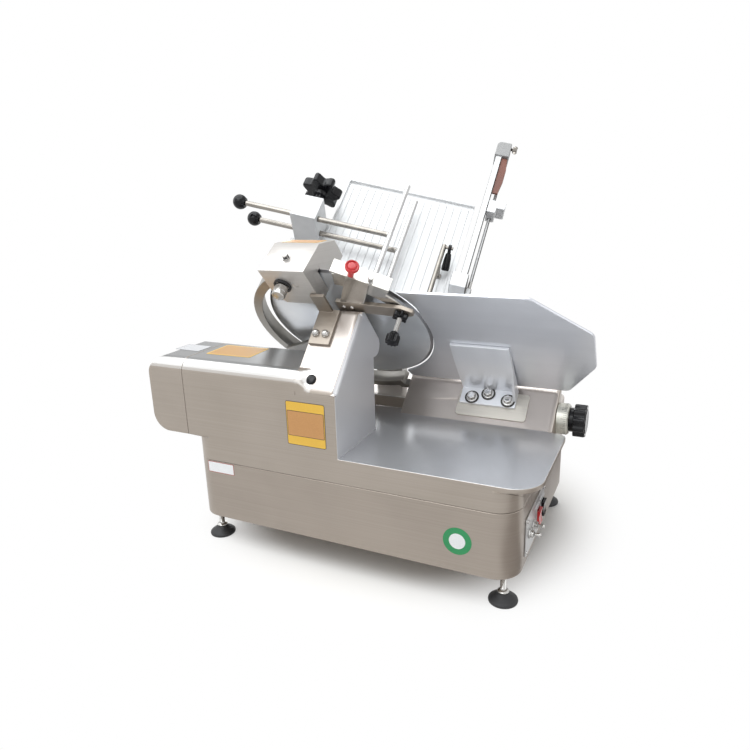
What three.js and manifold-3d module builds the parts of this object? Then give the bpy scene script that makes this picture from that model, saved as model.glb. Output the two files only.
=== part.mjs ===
// A frozen meat slicer for a kitchen counter, in millimetres, +Z up.
// X runs to the right along the front, Y to the back. The operator's tray slides along X past a
// round blade that leans back, and the slices drop on the flat table in front.
import * as THREE from "three";
import { mergeVertices } from "three/addons/utils/BufferGeometryUtils.js";
import Module from "manifold-3d";

const wasm = await Module();
wasm.setup();

// Fits and working allowances
const fit = 0.3;
const overrun = 4;
const weld = 1e-4;
const arcSteps = 3;
const bodySteps = 8;
const hoopSteps = 72;
const roundSides = 28;
const smallSides = 14;

// Base box, the sheet shell that the slicer stands on
const baseLength = 570;
const baseDepth = 394;
const baseBottom = 51;
const seamHeight = 158;
const cornerRadius = 40;
const shellWall = 2.5;
const flangeWidth = 42;
const flangeThick = 2.5;
const bottomPlateThick = 3;
const bottomPlateEdge = 12;

// Levelling feet
const footPadRadius = 22.5;
const footPadRim = 5;
const footPadHeight = 16;
const footNeckRadius = 9;
const footSocketDepth = 6;
const footCollarRadius = 7;
const footCollarHeight = 5;
const footStemRadius = 5;
const footNutRadius = 9;
const footNutHeight = 8;
const footStemReach = 12;
const footInsetX = 24;
const footInsetY = 28;

// Cast upper body: deck, table, motor housing and neck
const tableHeight = 200;
const tableThick = 8;
const castWall = 6;
const tableLeft = 286;
const tableOverhang = 26;
const tableCorner = 46;
const slopeFoot = 230;
const slopeLength = 86;
const rearDeckRise = 22;
const rearDeckTop = tableHeight + rearDeckRise;
const rampLeft = 296;
const rampOverhang = 2;
const rampRight = baseLength + rampOverhang;
const ridgeWidth = 8;
const ridgeDrop = 7;
const housingLeft = -80;
const housingDepth = 142;
const housingHeight = 134;
const housingBottom = tableHeight;
const housingTop = housingBottom + housingHeight;
const housingRound = 32;
const housingEdge = 24;
const coverSeam = -6;
const neckLeft = 212;
const neckRight = 288;
const neckShoulderRise = 105;
const neckShoulder = tableHeight + neckShoulderRise;
const neckEnd = 57;
const neckTopDrop = 2;
const neckBack = 140;
const neckBackRise = 128;
const neckBackTop = tableHeight + neckBackRise;
const neckRound = 22;
const neckEdge = 12;
const neckHeelRound = 18;
const hubBossRadius = 36;
const hubBossLength = 40;

// The slicing plane: how far it leans back and where the blade's centre lies on it
const leanDegrees = 43;
const bladePlane = 83;
const bladeX = 224;
const bladeRadius = 150;
const bladeFootGap = 7;
const bladeRise = bladeRadius + bladeFootGap;
const bladeThick = 3.2;
const bladeBevel = 11;
const bladeDish = 8;
const bladeHollow = 2;
const bladeFlatRing = 24;
const bladeHubRadius = 46;
const bladeEdge = 0.3;
const bladeSides = 56;

// Blade drive
const shaftRadius = 9;
const shaftLength = 160;
const shaftNutHeight = 6;
const shaftFlangeRadius = 34;
const shaftFlangeThick = 8;
const motorRadius = 48;
const motorLeft = -62;
const motorRight = 150;
const motorY = 71;
const motorRise = 66;
const motorZ = tableHeight + motorRise;
const motorEndRadius = 30;
const gearboxLeft = 141;
const gearboxRight = 272;
const gearboxFront = 22;
const gearboxBack = 124;
const gearboxLow = 14;
const gearboxHigh = 112;
const gearboxBottom = tableHeight + gearboxLow;
const gearboxTop = tableHeight + gearboxHigh;

// Ring guard, the hoop round the covered part of the blade
const ringGap = 12;
const ringWall = 10;
const ringInner = bladeRadius + ringGap;
const ringOuter = ringInner + ringWall;
const ringFront = 61;
const ringBack = 88;
const ringStartDegrees = 122;
const ringEndDegrees = 292;
const ringLipWidth = 6;
const ringLipThick = 3;
const ringSeatInner = 37;
const ringSeatOuter = 48;
const ringSpokeDegrees = 205;
const ringSpokeWidth = 22;
const ringLugWidth = 20;
const ringLugDepth = 13;

// Blade guard over the free upper rim, with the bright plate above it
const guardCover = 12;
const guardMiddleReach = 6;
const guardReach = 16;
const guardInner = bladeRadius - guardCover;
const guardMiddle = bladeRadius + guardMiddleReach;
const guardOuter = bladeRadius + guardReach;
const guardStartDegrees = 30;
const guardBandDegrees = 46;
const guardEndDegrees = 78;
const guardFront = 66;
const guardThick = 3;
const guardLipWidth = 3;
const guardLipBack = 90;
const guardPlateDegrees = 27.6;
const guardPlateReach = 25;
const guardPlateHalf = 47;
const guardPlateFront = 58;
const guardPlateBack = 82;
const guardPlateThick = 4;
const spacerLeft = -22;
const spacerRight = 16;
const spacerDrop = 76;
const spacerBack = 69;

// Guard arm, held on the end face of the neck, with its clamping screw
const armLeft = 243;
const armEnd = 20;
const armPostDrop = 41;
const armPostGap = 1;
const armPostBottom = bladeRise + ringSeatOuter + armPostGap;
const armRise = armPostBottom + armPostDrop;
const neckTop = armRise - neckTopDrop;
const armHeight = 24;
const armTip = 8;
const armTaper = 18;
const armThick = 7;
const armPostWidth = 20;
const armHoleRadius = 2.4;
const armHoleShares = [0.09, 0.2];
const redKnobPlace = -15;
const redHeadRadius = 11;
const redHeadHeight = 8;
const redStemRadius = 5;
const redStemHeight = 16;
const redPinDepth = 14;
const redCrownShare = 0.9;
const redKnobPull = 8;
const guardScrewDegrees = 31.7;
const guardScrewRadius = 4;
const guardScrewFront = 2;
const guardScrewBack = 65;
const screwStarRadius = 13;
const screwStarThick = 9;
const screwStarLobes = 6;
const screwStarDepth = 5;
const gripRadius = 11;
const gripLength = 18;
const gripFlutes = 12;
const gripFlute = 2;

// Sharpener head over the top left of the blade
const headLeft = 143;
const headRight = 226;
const headFront = 48;
const headBack = 150;
const headRimDrop = 45;
const headHeight = 81;
const headBackHeight = 38;
const headBottom = bladeRise + bladeRadius - headRimDrop;
const headTop = headBottom + headHeight;
const headBackTop = headBottom + headBackHeight;
const headCrest = 112;
const headCrestDrop = 9;
const headWall = 5;
const headCrestShare = 1.2;
const headFrontShare = 1.1;
const headCornerCut = 20;
const headSlotFront = 62;
const headSlotBack = 97;
const headSlotHeight = 54;
const headSlotTop = headBottom + headSlotHeight;
const headScrewX = 182;
const headScrewRun = 78;
const headScrewRadius = 5;
const headScrewHeight = 7;
const buttonX = 173;
const buttonLift = 46;
const buttonRise = headBottom + buttonLift;
const buttonRadius = 11;
const buttonLength = 18;
const buttonTravel = 4;
const buttonCollarRadius = 8;
const buttonStemRadius = 4;
const stoneRadius = 17;
const stoneThick = 8;
const stoneBackX = 196;
const stoneGap = 1.5;
const stoneFlangeRadius = 8;
const stoneSpindleLength = 34;
const spindlePlay = 1;
const stoneBossRadius = 10;
const stoneBossFront = 108;
const bracketFootLeft = 215;
const bracketFootRight = 252;
const bracketFootFront = -16;
const bracketThick = 5;
const uprightRight = 240;
const uprightReach = 28;
const uprightTop = headBottom + uprightReach;
const bracketNutRadius = 6.5;
const bracketNutHeight = 8;
const bracketNutRun = 2;
const bracketNutShares = [0.25, 0.72];
const domeRadiusShare = 0.7;
const domeHeightShare = 0.9;
const plugRadius = 6.5;
const plugHeight = 4;
const plugCrownShare = 0.7;
const plugBack = 14;
const plugX = 240;

// Gauge plate, which sets the slice thickness
const gaugeThick = 5;
const gaugeGap = 8;
const gaugeTop = 262;
const gaugeBottom = 7;
const gaugeReach = 66;
const gaugeTopSetback = 20;
const gaugeFootReach = 18;
const gaugeRight = baseLength + gaugeReach;
const gaugeTopEnd = baseLength - gaugeTopSetback;
const gaugeShoulder = 180;
const gaugeWaist = 92;
const gaugeFootRight = baseLength + gaugeFootReach;
const gaugeFootLeft = 300;
const gaugeBand = 20;
const gaugeBandDrop = 2.5;
const gaugeCorner = 8;
const gaugeTravel = 10;

// Gauge bracket and what moves it
const footPlateLeft = 399;
const footPlateRight = 524;
const footPlateFront = 12;
const footPlateBack = 65;
const footPlateThick = 2;
const footPlateCorner = 6;
const bracketPadLeft = 403;
const bracketPadRight = 503;
const bracketPadFront = 34;
const bracketPadThick = 5;
const webRise = 132;
const webThick = 5;
const webFlare = 9;
const webJoin = 28;
const gussetThick = 5;
const gussetReach = 96;
const boltRadius = 6;
const boltHeight = 7;
const washerRadius = 10;
const washerThick = 2;
const boltShares = [
  [0.21, 0.33],
  [0.49, 0.61],
  [0.86, 0.33],
];
const carrierX = 453;
const tongueHalf = 14;
const tongueFront = 26;
const tongueBack = 50;
const shoeHalf = 28;
const shoeBack = 36;
const shoeThick = 4.5;
const fingerHalf = 5;
const fingerDrop = 32;
const dialBack = 52;
const dialRise = 8.5;
const dialY = slopeFoot + dialBack;
const dialZ = tableHeight + dialRise;
const dialRadius = 27;
const dialWidth = 20;
const dialStep = 3;
const thicknessKnobRadius = 29;
const thicknessKnobWidth = 28;
const thicknessKnobNeck = 21;
const thicknessKnobFlutes = 10;
const thicknessKnobFlute = 4;
const indexShaftRadius = 6;
const camRadius = 7;
const camRise = 12;
const camWidth = 10;
const camLeadDegrees = 30;
const camGap = 0.6;
const camSteps = 30;

// Carriage that carries the tray
const barRadius = 9;
const barMargin = 26;
const barSpacing = 46;
const barDrop = 26;
const barBackY = baseDepth - barMargin;
const barFrontY = barBackY - barSpacing;
const barZ = tableHeight - barDrop;
const barEnd = 46;
const carriageX = 230;
const blockLength = 74;
const blockHeight = 32;
const blockMargin = 7;
const slotHalf = 20;
const slotLeft = 186;
const slotMargin = 96;
const slotRight = baseLength - slotMargin;
const postThick = 26;
const postWidth = 56;
const postY = (barFrontY + barBackY) / 2;
const saddleHalf = 62;
const saddleLow = 112;
const saddleHigh = 256;
const saddleThick = 8;

// Carriage drive inside the base: a belt over two pulleys, clamped to the carriage block
const beltSetback = 27;
const beltY = barFrontY - beltSetback;
const beltWidth = 10;
const beltThick = 2;
const beltDrop = 32;
const beltTop = tableHeight - beltDrop;
const beltSteps = 8;
const pulleyRadius = 18;
const pulleyFlange = 2;
const pulleyFlangeThick = 1.5;
const drivePulleyMargin = 70;
const drivePulleyX = baseLength - drivePulleyMargin;
const idlerPulleyX = 76;
const pulleyBore = 5;
const lugHalf = 15;
const lugDepth = 22;
const lugMargin = 6;
const gearMotorRadius = 30;
const gearMotorLength = 84;
const gearMotorGap = 15;
const gearMotorBack = beltY - gearMotorGap;
const gearMotorFront = gearMotorBack - gearMotorLength;
const gearMotorFootHalf = 24;
const idlerFootHalf = 12;
const idlerFootDepth = 22;

// Tray, in its own frame with the origin at its lower right corner
const trayX = 357.8;
const trayFoot = 92;
const trayRise = 92;
const trayTiltDegrees = 17.5;
const trayWidth = 262;
const trayLength = 334;
const trayThick = 4;
const trayRibs = 17;
const trayRibWidth = 5;
const trayRibHeight = 1.6;
const trayRibMargin = 12;
const trayRimWidth = 3;
const trayRimHeight = 5;
const earLeft = -326;
const earMargin = 5;
const earThick = 9;

// Rail at the tray's right side, with the slider that a meat press is hung on
const railLeft = 15;
const railWidth = 12;
const railBottom = 34;
const railHeight = 16;
const railLow = 100;
const railHigh = 465;
const railFootLength = 30;
const railFootWidth = 30;
const railFootTop = 54;
const railFootBottom = -14;
const topClampLength = 34;
const topClampWall = 3;
const topClampRound = 9;
const guideRodCover = 2;
const topClampBottom = 24;
const guideRodX = 35;
const guideRodHeight = 29;
const guideRodRadius = 3;
const wingScrewRadius = 3;
const wingScrewLength = 12;
const wingScrewDepth = 6;
const wingScrewRun = 461;
const wingScrewHeight = 44;
const wingHalf = 11;
const wingThick = 3;
const wingHeight = 8;
const stripLow = 336;
const stripClearance = 1;
const stripHigh = railHigh - topClampLength - stripClearance;
const stripWidth = 11;
const stripBottom = 43;
const stripTop = 47;
const stripBow = 4;
const sliderLow = 297;
const sliderHigh = 315;
const sliderRight = 60;
const sliderBottom = 22;
const sliderTop = 50;
const sliderRound = 3;
const sliderTabRight = 44;
const sliderTabLow = 285;

// Meat fence: a clamp block on the tray's left with two rods and two ball knobs
const fenceBlockLeft = -317;
const fenceBlockRight = -267;
const fenceBlockLow = 157;
const fenceBlockHigh = 208;
const fenceBlockTop = 77;
const earLow = fenceBlockLow - earMargin;
const earHigh = fenceBlockHigh + earMargin;
const fenceRodRadius = 5;
const fenceRodRun = 170;
const fenceUpperLift = 62;
const fenceLowerLift = 22;
const fenceUpperLeft = -412;
const fenceLowerLeft = -391;
const fenceUpperBar = -128;
const fenceLowerBar = -112;
const fenceBarLow = 70;
const fenceUpperHigh = 294;
const fenceLowerHigh = 297;
const fenceTipRadius = 3;
const fenceTipLength = 9;
const ballRadius = 14;
const ballFlat = 11;
const starX = -289;
const starLift = 45;
const starRadius = 39;
const starThick = 20;
const starLobes = 7;
const starLobeDepth = 11;
const starCapRadius = 15;
const starCapHeight = 5;
const starNeckRadius = 11;
const starNeckHeight = 35;
const starScrewRadius = 5;
const starScrewDepth = 14;

// Stop rod with its tapered grip
const stopX = -30;
const stopLift = 36;
const stopRodRadius = 4.5;
const stopLow = 24;
const stopHigh = 196;
const stopLegLow = 34;
const stopLegHigh = 150;
const stopPinRadius = 3;
const stopPinReach = 18;
const stopEyeRadius = 6.5;
const stopEyeWidth = 6;
const stopEyeGap = 4;
const stopGripTop = 4;
const stopGripBottom = 7;
const stopGripStart = 4;
const stopGripLength = 38;
const stopGripDegrees = 38;

// Control panel on the right end
const panelFront = 50;
const panelBack = 184;
const panelBottom = 66;
const panelTop = 130;
const panelThick = 2;
const panelCorner = 5;
const panelFrame = 10;
const blackRockerY = 160;
const redRockerY = 128;
const rockerHalfWidth = 10;
const rockerHalfHeight = 12;
const rockerProud = 5;
const rockerDepth = 10;
const rockerPivotDepth = 4;
const rockerDip = 2;
const rockerPlay = 2;
const bezelWidth = 4;
const bezelHeight = 2;
const frontToggleY = 70;
const backToggleY = 97;
const switchZ = 98;
const bushRadius = 6;
const bushBore = 4.6;
const bushLength = 7;
const leverBall = 3;
const leverRadius = 2;
const leverTip = 3;
const leverLength = 18;

// Finishes
function finish(colour, roughness, metalness) {
  return new THREE.MeshStandardMaterial({ color: colour, roughness, metalness });
}
const brushedSteel = finish(0xb9b2a8, 0.38, 0.9);
const castSkin = finish(0xbfbab2, 0.34, 0.9);
const satinSteel = finish(0xa9b0b8, 0.3, 0.9);
const bladeSteel = finish(0x8f979f, 0.2, 1);
const polished = finish(0xd9dadb, 0.12, 1);
const whiteAlloy = finish(0xe4e6e8, 0.35, 0.6);
const blackPlastic = finish(0x17181a, 0.3, 0);
const redPlastic = finish(0xc81f24, 0.3, 0);
const rubber = finish(0x232426, 0.7, 0);
const brownBoard = finish(0x8a4a3a, 0.5, 0);
const paleDial = finish(0xd6d3c4, 0.4, 0.3);
const darkCast = finish(0x4a4c4f, 0.6, 0.5);
const stoneGrit = finish(0x8c8f94, 0.9, 0);
const armSteel = finish(0xc2b8a2, 0.35, 0.8);

// Solids: each geometry is one closed body, and booleans give one back
function toSolid(geometry) {
  const bare = geometry.clone();
  bare.deleteAttribute("normal");
  bare.deleteAttribute("uv");
  const merged = mergeVertices(bare, weld);
  return new wasm.Manifold(
    new wasm.Mesh({
      numProp: 3,
      vertProperties: merged.attributes.position.array,
      triVerts: new Uint32Array(merged.index.array),
    }),
  );
}

function toGeometry(solid) {
  const mesh = solid.getMesh();
  const geometry = new THREE.BufferGeometry();
  geometry.setAttribute("position", new THREE.BufferAttribute(mesh.vertProperties, 3));
  geometry.setIndex(new THREE.BufferAttribute(mesh.triVerts, 1));
  return geometry;
}

function join(...parts) {
  return toGeometry(parts.map(toSolid).reduce((a, b) => a.add(b)));
}

function cut(body, ...tools) {
  return toGeometry(tools.map(toSolid).reduce((a, b) => a.subtract(b), toSolid(body)));
}

function common(a, b) {
  return toGeometry(toSolid(a).intersect(toSolid(b)));
}

// Plain shapes, placed by their limits
function block(x0, x1, y0, y1, z0, z1) {
  const box = new THREE.BoxGeometry(x1 - x0, y1 - y0, z1 - z0);
  return box.translate((x0 + x1) / 2, (y0 + y1) / 2, (z0 + z1) / 2);
}

function rodZ(radius, z0, z1, x = 0, y = 0, sides = roundSides) {
  const rod = new THREE.CylinderGeometry(radius, radius, z1 - z0, sides);
  return rod.rotateX(Math.PI / 2).translate(x, y, (z0 + z1) / 2);
}

function rodY(radius, y0, y1, x = 0, z = 0, sides = roundSides) {
  const rod = new THREE.CylinderGeometry(radius, radius, y1 - y0, sides);
  return rod.translate(x, (y0 + y1) / 2, z);
}

function rodX(radius, x0, x1, y = 0, z = 0, sides = roundSides) {
  const rod = new THREE.CylinderGeometry(radius, radius, x1 - x0, sides);
  return rod.rotateZ(Math.PI / 2).translate((x0 + x1) / 2, y, z);
}

function extrude(shape, depth, curveSegments = arcSteps) {
  return new THREE.ExtrudeGeometry(shape, { depth, bevelEnabled: false, curveSegments });
}

// An XY outline raised from z0 to z1
function plateZ(shape, z0, z1, curveSegments) {
  return extrude(shape, z1 - z0, curveSegments).translate(0, 0, z0);
}

// An XZ outline pushed from y0 to y1
function plateY(shape, y0, y1, curveSegments) {
  return extrude(shape, y1 - y0, curveSegments).rotateX(Math.PI / 2).translate(0, y1, 0);
}

// A YZ outline pushed from x0 to x1
function plateX(shape, x0, x1, curveSegments) {
  const turn = new THREE.Matrix4().makeBasis(
    new THREE.Vector3(0, 1, 0),
    new THREE.Vector3(0, 0, 1),
    new THREE.Vector3(1, 0, 0),
  );
  return extrude(shape, x1 - x0, curveSegments).applyMatrix4(turn).translate(x0, 0, 0);
}

// An outline through corners [x, y, radius], each corner rounded by its own radius
function outline(corners) {
  const shape = new THREE.Shape();
  const count = corners.length;
  corners.forEach(([x, y, radius], i) => {
    const here = new THREE.Vector2(x, y);
    const before = corners[(i + count - 1) % count];
    const after = corners[(i + 1) % count];
    const back = new THREE.Vector2(before[0] - x, before[1] - y).normalize();
    const ahead = new THREE.Vector2(after[0] - x, after[1] - y).normalize();
    const half = Math.acos(THREE.MathUtils.clamp(back.dot(ahead), -1, 1)) / 2;
    const start = here.clone().addScaledVector(back, radius / Math.tan(half));
    const end = here.clone().addScaledVector(ahead, radius / Math.tan(half));
    if (i === 0) shape.moveTo(start.x, start.y);
    else shape.lineTo(start.x, start.y);
    if (radius > 0) {
      const middle = back.clone().add(ahead).normalize();
      const centre = here.clone().addScaledVector(middle, radius / Math.sin(half));
      const from = Math.atan2(start.y - centre.y, start.x - centre.x);
      const to = Math.atan2(end.y - centre.y, end.x - centre.x);
      shape.absarc(centre.x, centre.y, radius, from, to, back.cross(ahead) > 0);
    }
  });
  shape.closePath();
  return shape;
}

function roundedBox(x0, x1, y0, y1, radius) {
  return outline([
    [x0, y0, radius],
    [x1, y0, radius],
    [x1, y1, radius],
    [x0, y1, radius],
  ]);
}

// A revolved profile of [radius, height] points, axis along Z
function turned(points, sides = roundSides) {
  const profile = points.map(([r, z]) => new THREE.Vector2(r, z));
  return new THREE.LatheGeometry(profile, sides).rotateX(Math.PI / 2);
}

// A knob outline with lobes round its edge, about the origin
function lobedOutline(radius, lobes, depth) {
  const shape = new THREE.Shape();
  const steps = lobes * 2 * arcSteps;
  for (let i = 0; i < steps; i++) {
    const angle = (i / steps) * 2 * Math.PI;
    const reach = radius - (depth * (1 - Math.cos(lobes * angle))) / 2;
    if (i === 0) shape.moveTo(reach, 0);
    else shape.lineTo(reach * Math.cos(angle), reach * Math.sin(angle));
  }
  shape.closePath();
  return shape;
}

// Part of a hoop between two angles, in the XZ plane about (x, z), from y0 to y1
function hoop(inner, outer, fromDegrees, toDegrees, y0, y1, x, z) {
  const from = THREE.MathUtils.degToRad(fromDegrees);
  const to = THREE.MathUtils.degToRad(toDegrees);
  const sector = new THREE.Shape();
  const steps = Math.ceil(((to - from) * hoopSteps) / (2 * Math.PI));
  for (let i = 0; i <= steps; i++) {
    const angle = from + ((to - from) * i) / steps;
    const px = x + outer * Math.cos(angle);
    const pz = z + outer * Math.sin(angle);
    if (i === 0) sector.moveTo(px, pz);
    else sector.lineTo(px, pz);
  }
  for (let i = steps; i >= 0; i--) {
    const angle = from + ((to - from) * i) / steps;
    sector.lineTo(x + inner * Math.cos(angle), z + inner * Math.sin(angle));
  }
  sector.closePath();
  return plateY(sector, y0, y1);
}

// A closed tube along Y about (x, z)
function tubeY(inner, outer, y0, y1, x = 0, z = 0, sides = roundSides) {
  const margin = (y1 - y0) / 2;
  return cut(rodY(outer, y0, y1, x, z, sides), rodY(inner, y0 - margin, y1 + margin, x, z, sides));
}

// Frames: the leaning frame has X along the machine, Y up the slope and Z out of the slope.
// The tray's frame lies in it, tilted down to the right, with its origin at the lower right corner.
const radians = THREE.MathUtils.degToRad;
const lean = radians(leanDegrees);
const leaning = new THREE.Matrix4()
  .makeTranslation(0, slopeFoot, tableHeight)
  .multiply(new THREE.Matrix4().makeRotationX(lean));
const trayFrame = new THREE.Matrix4()
  .makeTranslation(trayX, trayFoot, trayRise)
  .multiply(new THREE.Matrix4().makeRotationY(radians(trayTiltDegrees)));
const trayInWorld = leaning.clone().multiply(trayFrame);

function leaned(geometry) {
  return geometry.applyMatrix4(leaning);
}

// World [y, z] of a point given by its run up the slope and its rise off the slope
function onSlope(run, rise) {
  const point = new THREE.Vector3(0, run, rise).applyMatrix4(leaning);
  return [point.y, point.z];
}

// Run and rise of a world point [y, z]
function toSlope(y, z) {
  const point = new THREE.Vector3(0, y, z).applyMatrix4(leaning.clone().invert());
  return [point.y, point.z];
}

// The clamping screw stands over the blade's rim, and the guard arm reaches just past it
const guardScrewTurn = radians(guardScrewDegrees);
const guardScrewX = bladeX + bladeRadius * Math.cos(guardScrewTurn);
const guardScrewRise = bladeRise + bladeRadius * Math.sin(guardScrewTurn);
const armRight = guardScrewX + armEnd;
const armFall = armRise - guardScrewRise;

const model = new THREE.Group();
const machine = new THREE.Group();
model.add(machine);

// Everything laid out in the leaning frame hangs in one group, the tray's pieces in another
const slicing = new THREE.Group();
slicing.applyMatrix4(leaning);
machine.add(slicing);
const guardTop = new THREE.Group();
const guardTurn = radians(guardPlateDegrees);
guardTop.position.set(
  bladeX + (bladeRadius + guardPlateReach) * Math.sin(guardTurn),
  0,
  bladeRise + (bladeRadius + guardPlateReach) * Math.cos(guardTurn),
);
guardTop.rotation.y = guardTurn;
slicing.add(guardTop);
guardTop.updateMatrix();
const tray = new THREE.Group();
tray.applyMatrix4(trayFrame);
slicing.add(tray);

function piece(group, name, material, geometry) {
  const mesh = new THREE.Mesh(geometry, material);
  mesh.name = name;
  group.add(mesh);
}

// Base shell: four walls with a turned-in flange that the bottom plate and the feet hold to
const footPlaces = [
  [footInsetX, footInsetY],
  [baseLength - footInsetX, footInsetY],
  [footInsetX, baseDepth - footInsetY],
  [baseLength - footInsetX, baseDepth - footInsetY],
];

function footHoles() {
  const radius = footStemRadius + fit;
  return footPlaces.map(([x, y]) => rodZ(radius, 0, seamHeight, x, y, smallSides));
}

function baseShell() {
  const wall = shellWall;
  const outside = roundedBox(0, baseLength, 0, baseDepth, cornerRadius);
  const inside = roundedBox(wall, baseLength - wall, wall, baseDepth - wall, cornerRadius - wall);
  const well = roundedBox(
    flangeWidth,
    baseLength - flangeWidth,
    flangeWidth,
    baseDepth - flangeWidth,
    cornerRadius / 2,
  );
  const panelWindow = block(
    baseLength - wall - overrun,
    baseLength + overrun,
    panelFront + panelFrame,
    panelBack - panelFrame,
    panelBottom + panelFrame,
    panelTop - panelFrame,
  );
  return cut(
    plateZ(outside, baseBottom, seamHeight - fit, bodySteps),
    plateZ(inside, baseBottom + flangeThick, seamHeight + overrun),
    plateZ(well, baseBottom - overrun, seamHeight),
    panelWindow,
    ...footHoles(),
  );
}

// The bottom plate also carries the idler pulley's stand and the carriage motor's stand
const floorLow = baseBottom + flangeThick + fit;
const floorTop = floorLow + bottomPlateThick;
const pulleyZ = beltTop - beltThick - pulleyRadius;
const pulleyFront = beltY - beltWidth / 2 - pulleyFlangeThick - fit;

function bottomPlate() {
  const edge = bottomPlateEdge;
  const shape = roundedBox(edge, baseLength - edge, edge, baseDepth - edge, cornerRadius - edge / 2);
  const standBack = pulleyFront - fit;
  const stand = block(
    idlerPulleyX - idlerFootHalf,
    idlerPulleyX + idlerFootHalf,
    standBack - idlerFootDepth,
    standBack,
    floorLow,
    pulleyZ + idlerFootHalf,
  );
  const pin = rodY(pulleyBore, standBack - idlerFootDepth, beltY + beltWidth, idlerPulleyX, pulleyZ, smallSides);
  return join(cut(plateZ(shape, floorLow, floorTop), ...footHoles()), stand, pin);
}

function footPad(x, y) {
  const pad = turned([
    [0, 0],
    [footPadRadius, 0],
    [footPadRadius, footPadRim],
    [footNeckRadius, footPadHeight],
    [0, footPadHeight],
  ]);
  const radius = footStemRadius + fit;
  const bottom = footPadHeight - footSocketDepth;
  return cut(pad, rodZ(radius, bottom, footPadHeight + overrun, 0, 0, smallSides)).translate(x, y, 0);
}

function footStud(x, y) {
  const nutTop = baseBottom - fit;
  return join(
    rodZ(footStemRadius, footPadHeight - footSocketDepth + fit, floorTop + footStemReach, 0, 0, smallSides),
    rodZ(footNutRadius, nutTop - footNutHeight, nutTop, 0, 0, 6),
    rodZ(footCollarRadius, footPadHeight + fit, footPadHeight + footCollarHeight, 0, 0, smallSides),
  ).translate(x, y, 0);
}

piece(machine, "base_shell", brushedSteel, baseShell());
piece(machine, "bottom_plate", brushedSteel, bottomPlate());
footPlaces.forEach(([x, y], i) => {
  piece(machine, `foot_pad_${i + 1}`, rubber, footPad(x, y));
  piece(machine, `foot_stud_${i + 1}`, polished, footStud(x, y));
});

// Motor housing: its front outline meets its side outline, so every long edge is rounded
function housingFront(inset) {
  const round = housingRound - inset;
  return outline([
    [housingLeft + inset, housingBottom + inset, round],
    [neckRight, housingBottom + inset, 0],
    [neckRight, housingTop - inset, 0],
    [housingLeft + inset, housingTop - inset, round],
  ]);
}

function housingSide(inset) {
  const edge = housingEdge - inset;
  return outline([
    [inset, housingBottom + inset, 0],
    [housingDepth - inset, housingBottom + inset, 0],
    [housingDepth - inset, housingTop - inset, edge],
    [inset, housingTop - inset, edge],
  ]);
}

function housingSolid(inset, left, right) {
  const steps = inset ? arcSteps : bodySteps;
  return common(
    plateY(housingFront(inset), inset, housingDepth - inset, steps),
    plateX(housingSide(inset), left, right, steps),
  );
}

// The neck leans up the slope towards the blade's hub
function neckSide(inset) {
  return outline([
    [inset, seamHeight, 0],
    [neckBack - inset, seamHeight, 0],
    [neckBack - inset, neckBackTop + inset, 0],
    [...onSlope(neckEnd - inset, bladeRise - hubBossRadius), neckHeelRound],
    [...onSlope(neckEnd - inset, neckTop - inset), neckEdge],
    [inset, neckShoulder - inset, neckRound],
  ]);
}

function neckSolid(inset) {
  return plateX(neckSide(inset), neckLeft + inset, neckRight - inset, inset ? arcSteps : bodySteps);
}

// Rise of the neck's sloped top over the slope, at a run along it
function neckTopRise(run) {
  const [shoulderRun, shoulderRise] = toSlope(0, neckShoulder);
  const share = (run - shoulderRun) / (neckEnd - shoulderRun);
  return shoulderRise + (neckTop - shoulderRise) * share;
}

// The ramp under the gauge plate ends in a ridge, and behind it the rear deck is flat
function rampSide(inset) {
  const [ridgeY, ridgeZ] = onSlope(slopeLength, 0);
  const side = inset / Math.tan(lean / 2 + Math.PI / 4);
  return outline([
    [slopeFoot + inset / Math.sin(lean), seamHeight, 0],
    [ridgeY + ridgeWidth + ridgeDrop - inset, seamHeight, 0],
    [ridgeY + ridgeWidth + ridgeDrop - inset, ridgeZ - ridgeDrop - inset, 0],
    [ridgeY + ridgeWidth - side, ridgeZ - inset, 0],
    [ridgeY + side / 2, ridgeZ - inset, 0],
    [slopeFoot + inset / Math.sin(lean), tableHeight, 0],
  ]);
}

function rampSolid(inset) {
  return plateX(rampSide(inset), rampLeft + inset, rampRight - inset);
}

function deckSolid(inset) {
  const shape = roundedBox(inset, baseLength - inset, inset, baseDepth - inset, cornerRadius - inset);
  const low = inset ? seamHeight - overrun : seamHeight;
  const top = inset ? tableHeight - tableThick : tableHeight;
  const stepY = slopeFoot + (rearDeckTop - tableHeight) / Math.tan(lean) + inset;
  const behind = block(-baseLength, baseLength * 2, stepY, baseDepth, low, rearDeckTop - inset);
  const steps = inset ? arcSteps : bodySteps;
  return join(plateZ(shape, low, top, steps), common(plateZ(shape, low, rearDeckTop, steps), behind));
}

function tablePlate() {
  const right = baseLength + tableOverhang;
  const shape = outline([
    [tableLeft, 0, 0],
    [right, 0, tableCorner],
    [right, slopeFoot, tableCorner / 3],
    [tableLeft, slopeFoot, 0],
  ]);
  return plateZ(shape, tableHeight - tableThick, tableHeight, bodySteps);
}

function hubBoss() {
  return leaned(rodY(hubBossRadius, neckEnd - hubBossLength, neckEnd, bladeX, bladeRise));
}

function hubBore() {
  return leaned(rodY(shaftRadius + fit, -hubBossLength, bladePlane, bladeX, bladeRise, smallSides));
}

function carriageSlot() {
  const shape = roundedBox(slotLeft, slotRight, postY - slotHalf, postY + slotHalf, slotHalf - fit);
  return plateZ(shape, rearDeckTop - castWall - overrun, rearDeckTop + overrun);
}

// Slot through the ramp for the gauge carrier
function tongueSlot() {
  return leaned(
    block(
      carrierX - tongueHalf - fit,
      carrierX + tongueHalf + fit,
      tongueFront - gaugeTravel - fit,
      tongueBack + fit,
      -castWall - overrun,
      overrun,
    ),
  );
}

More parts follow.
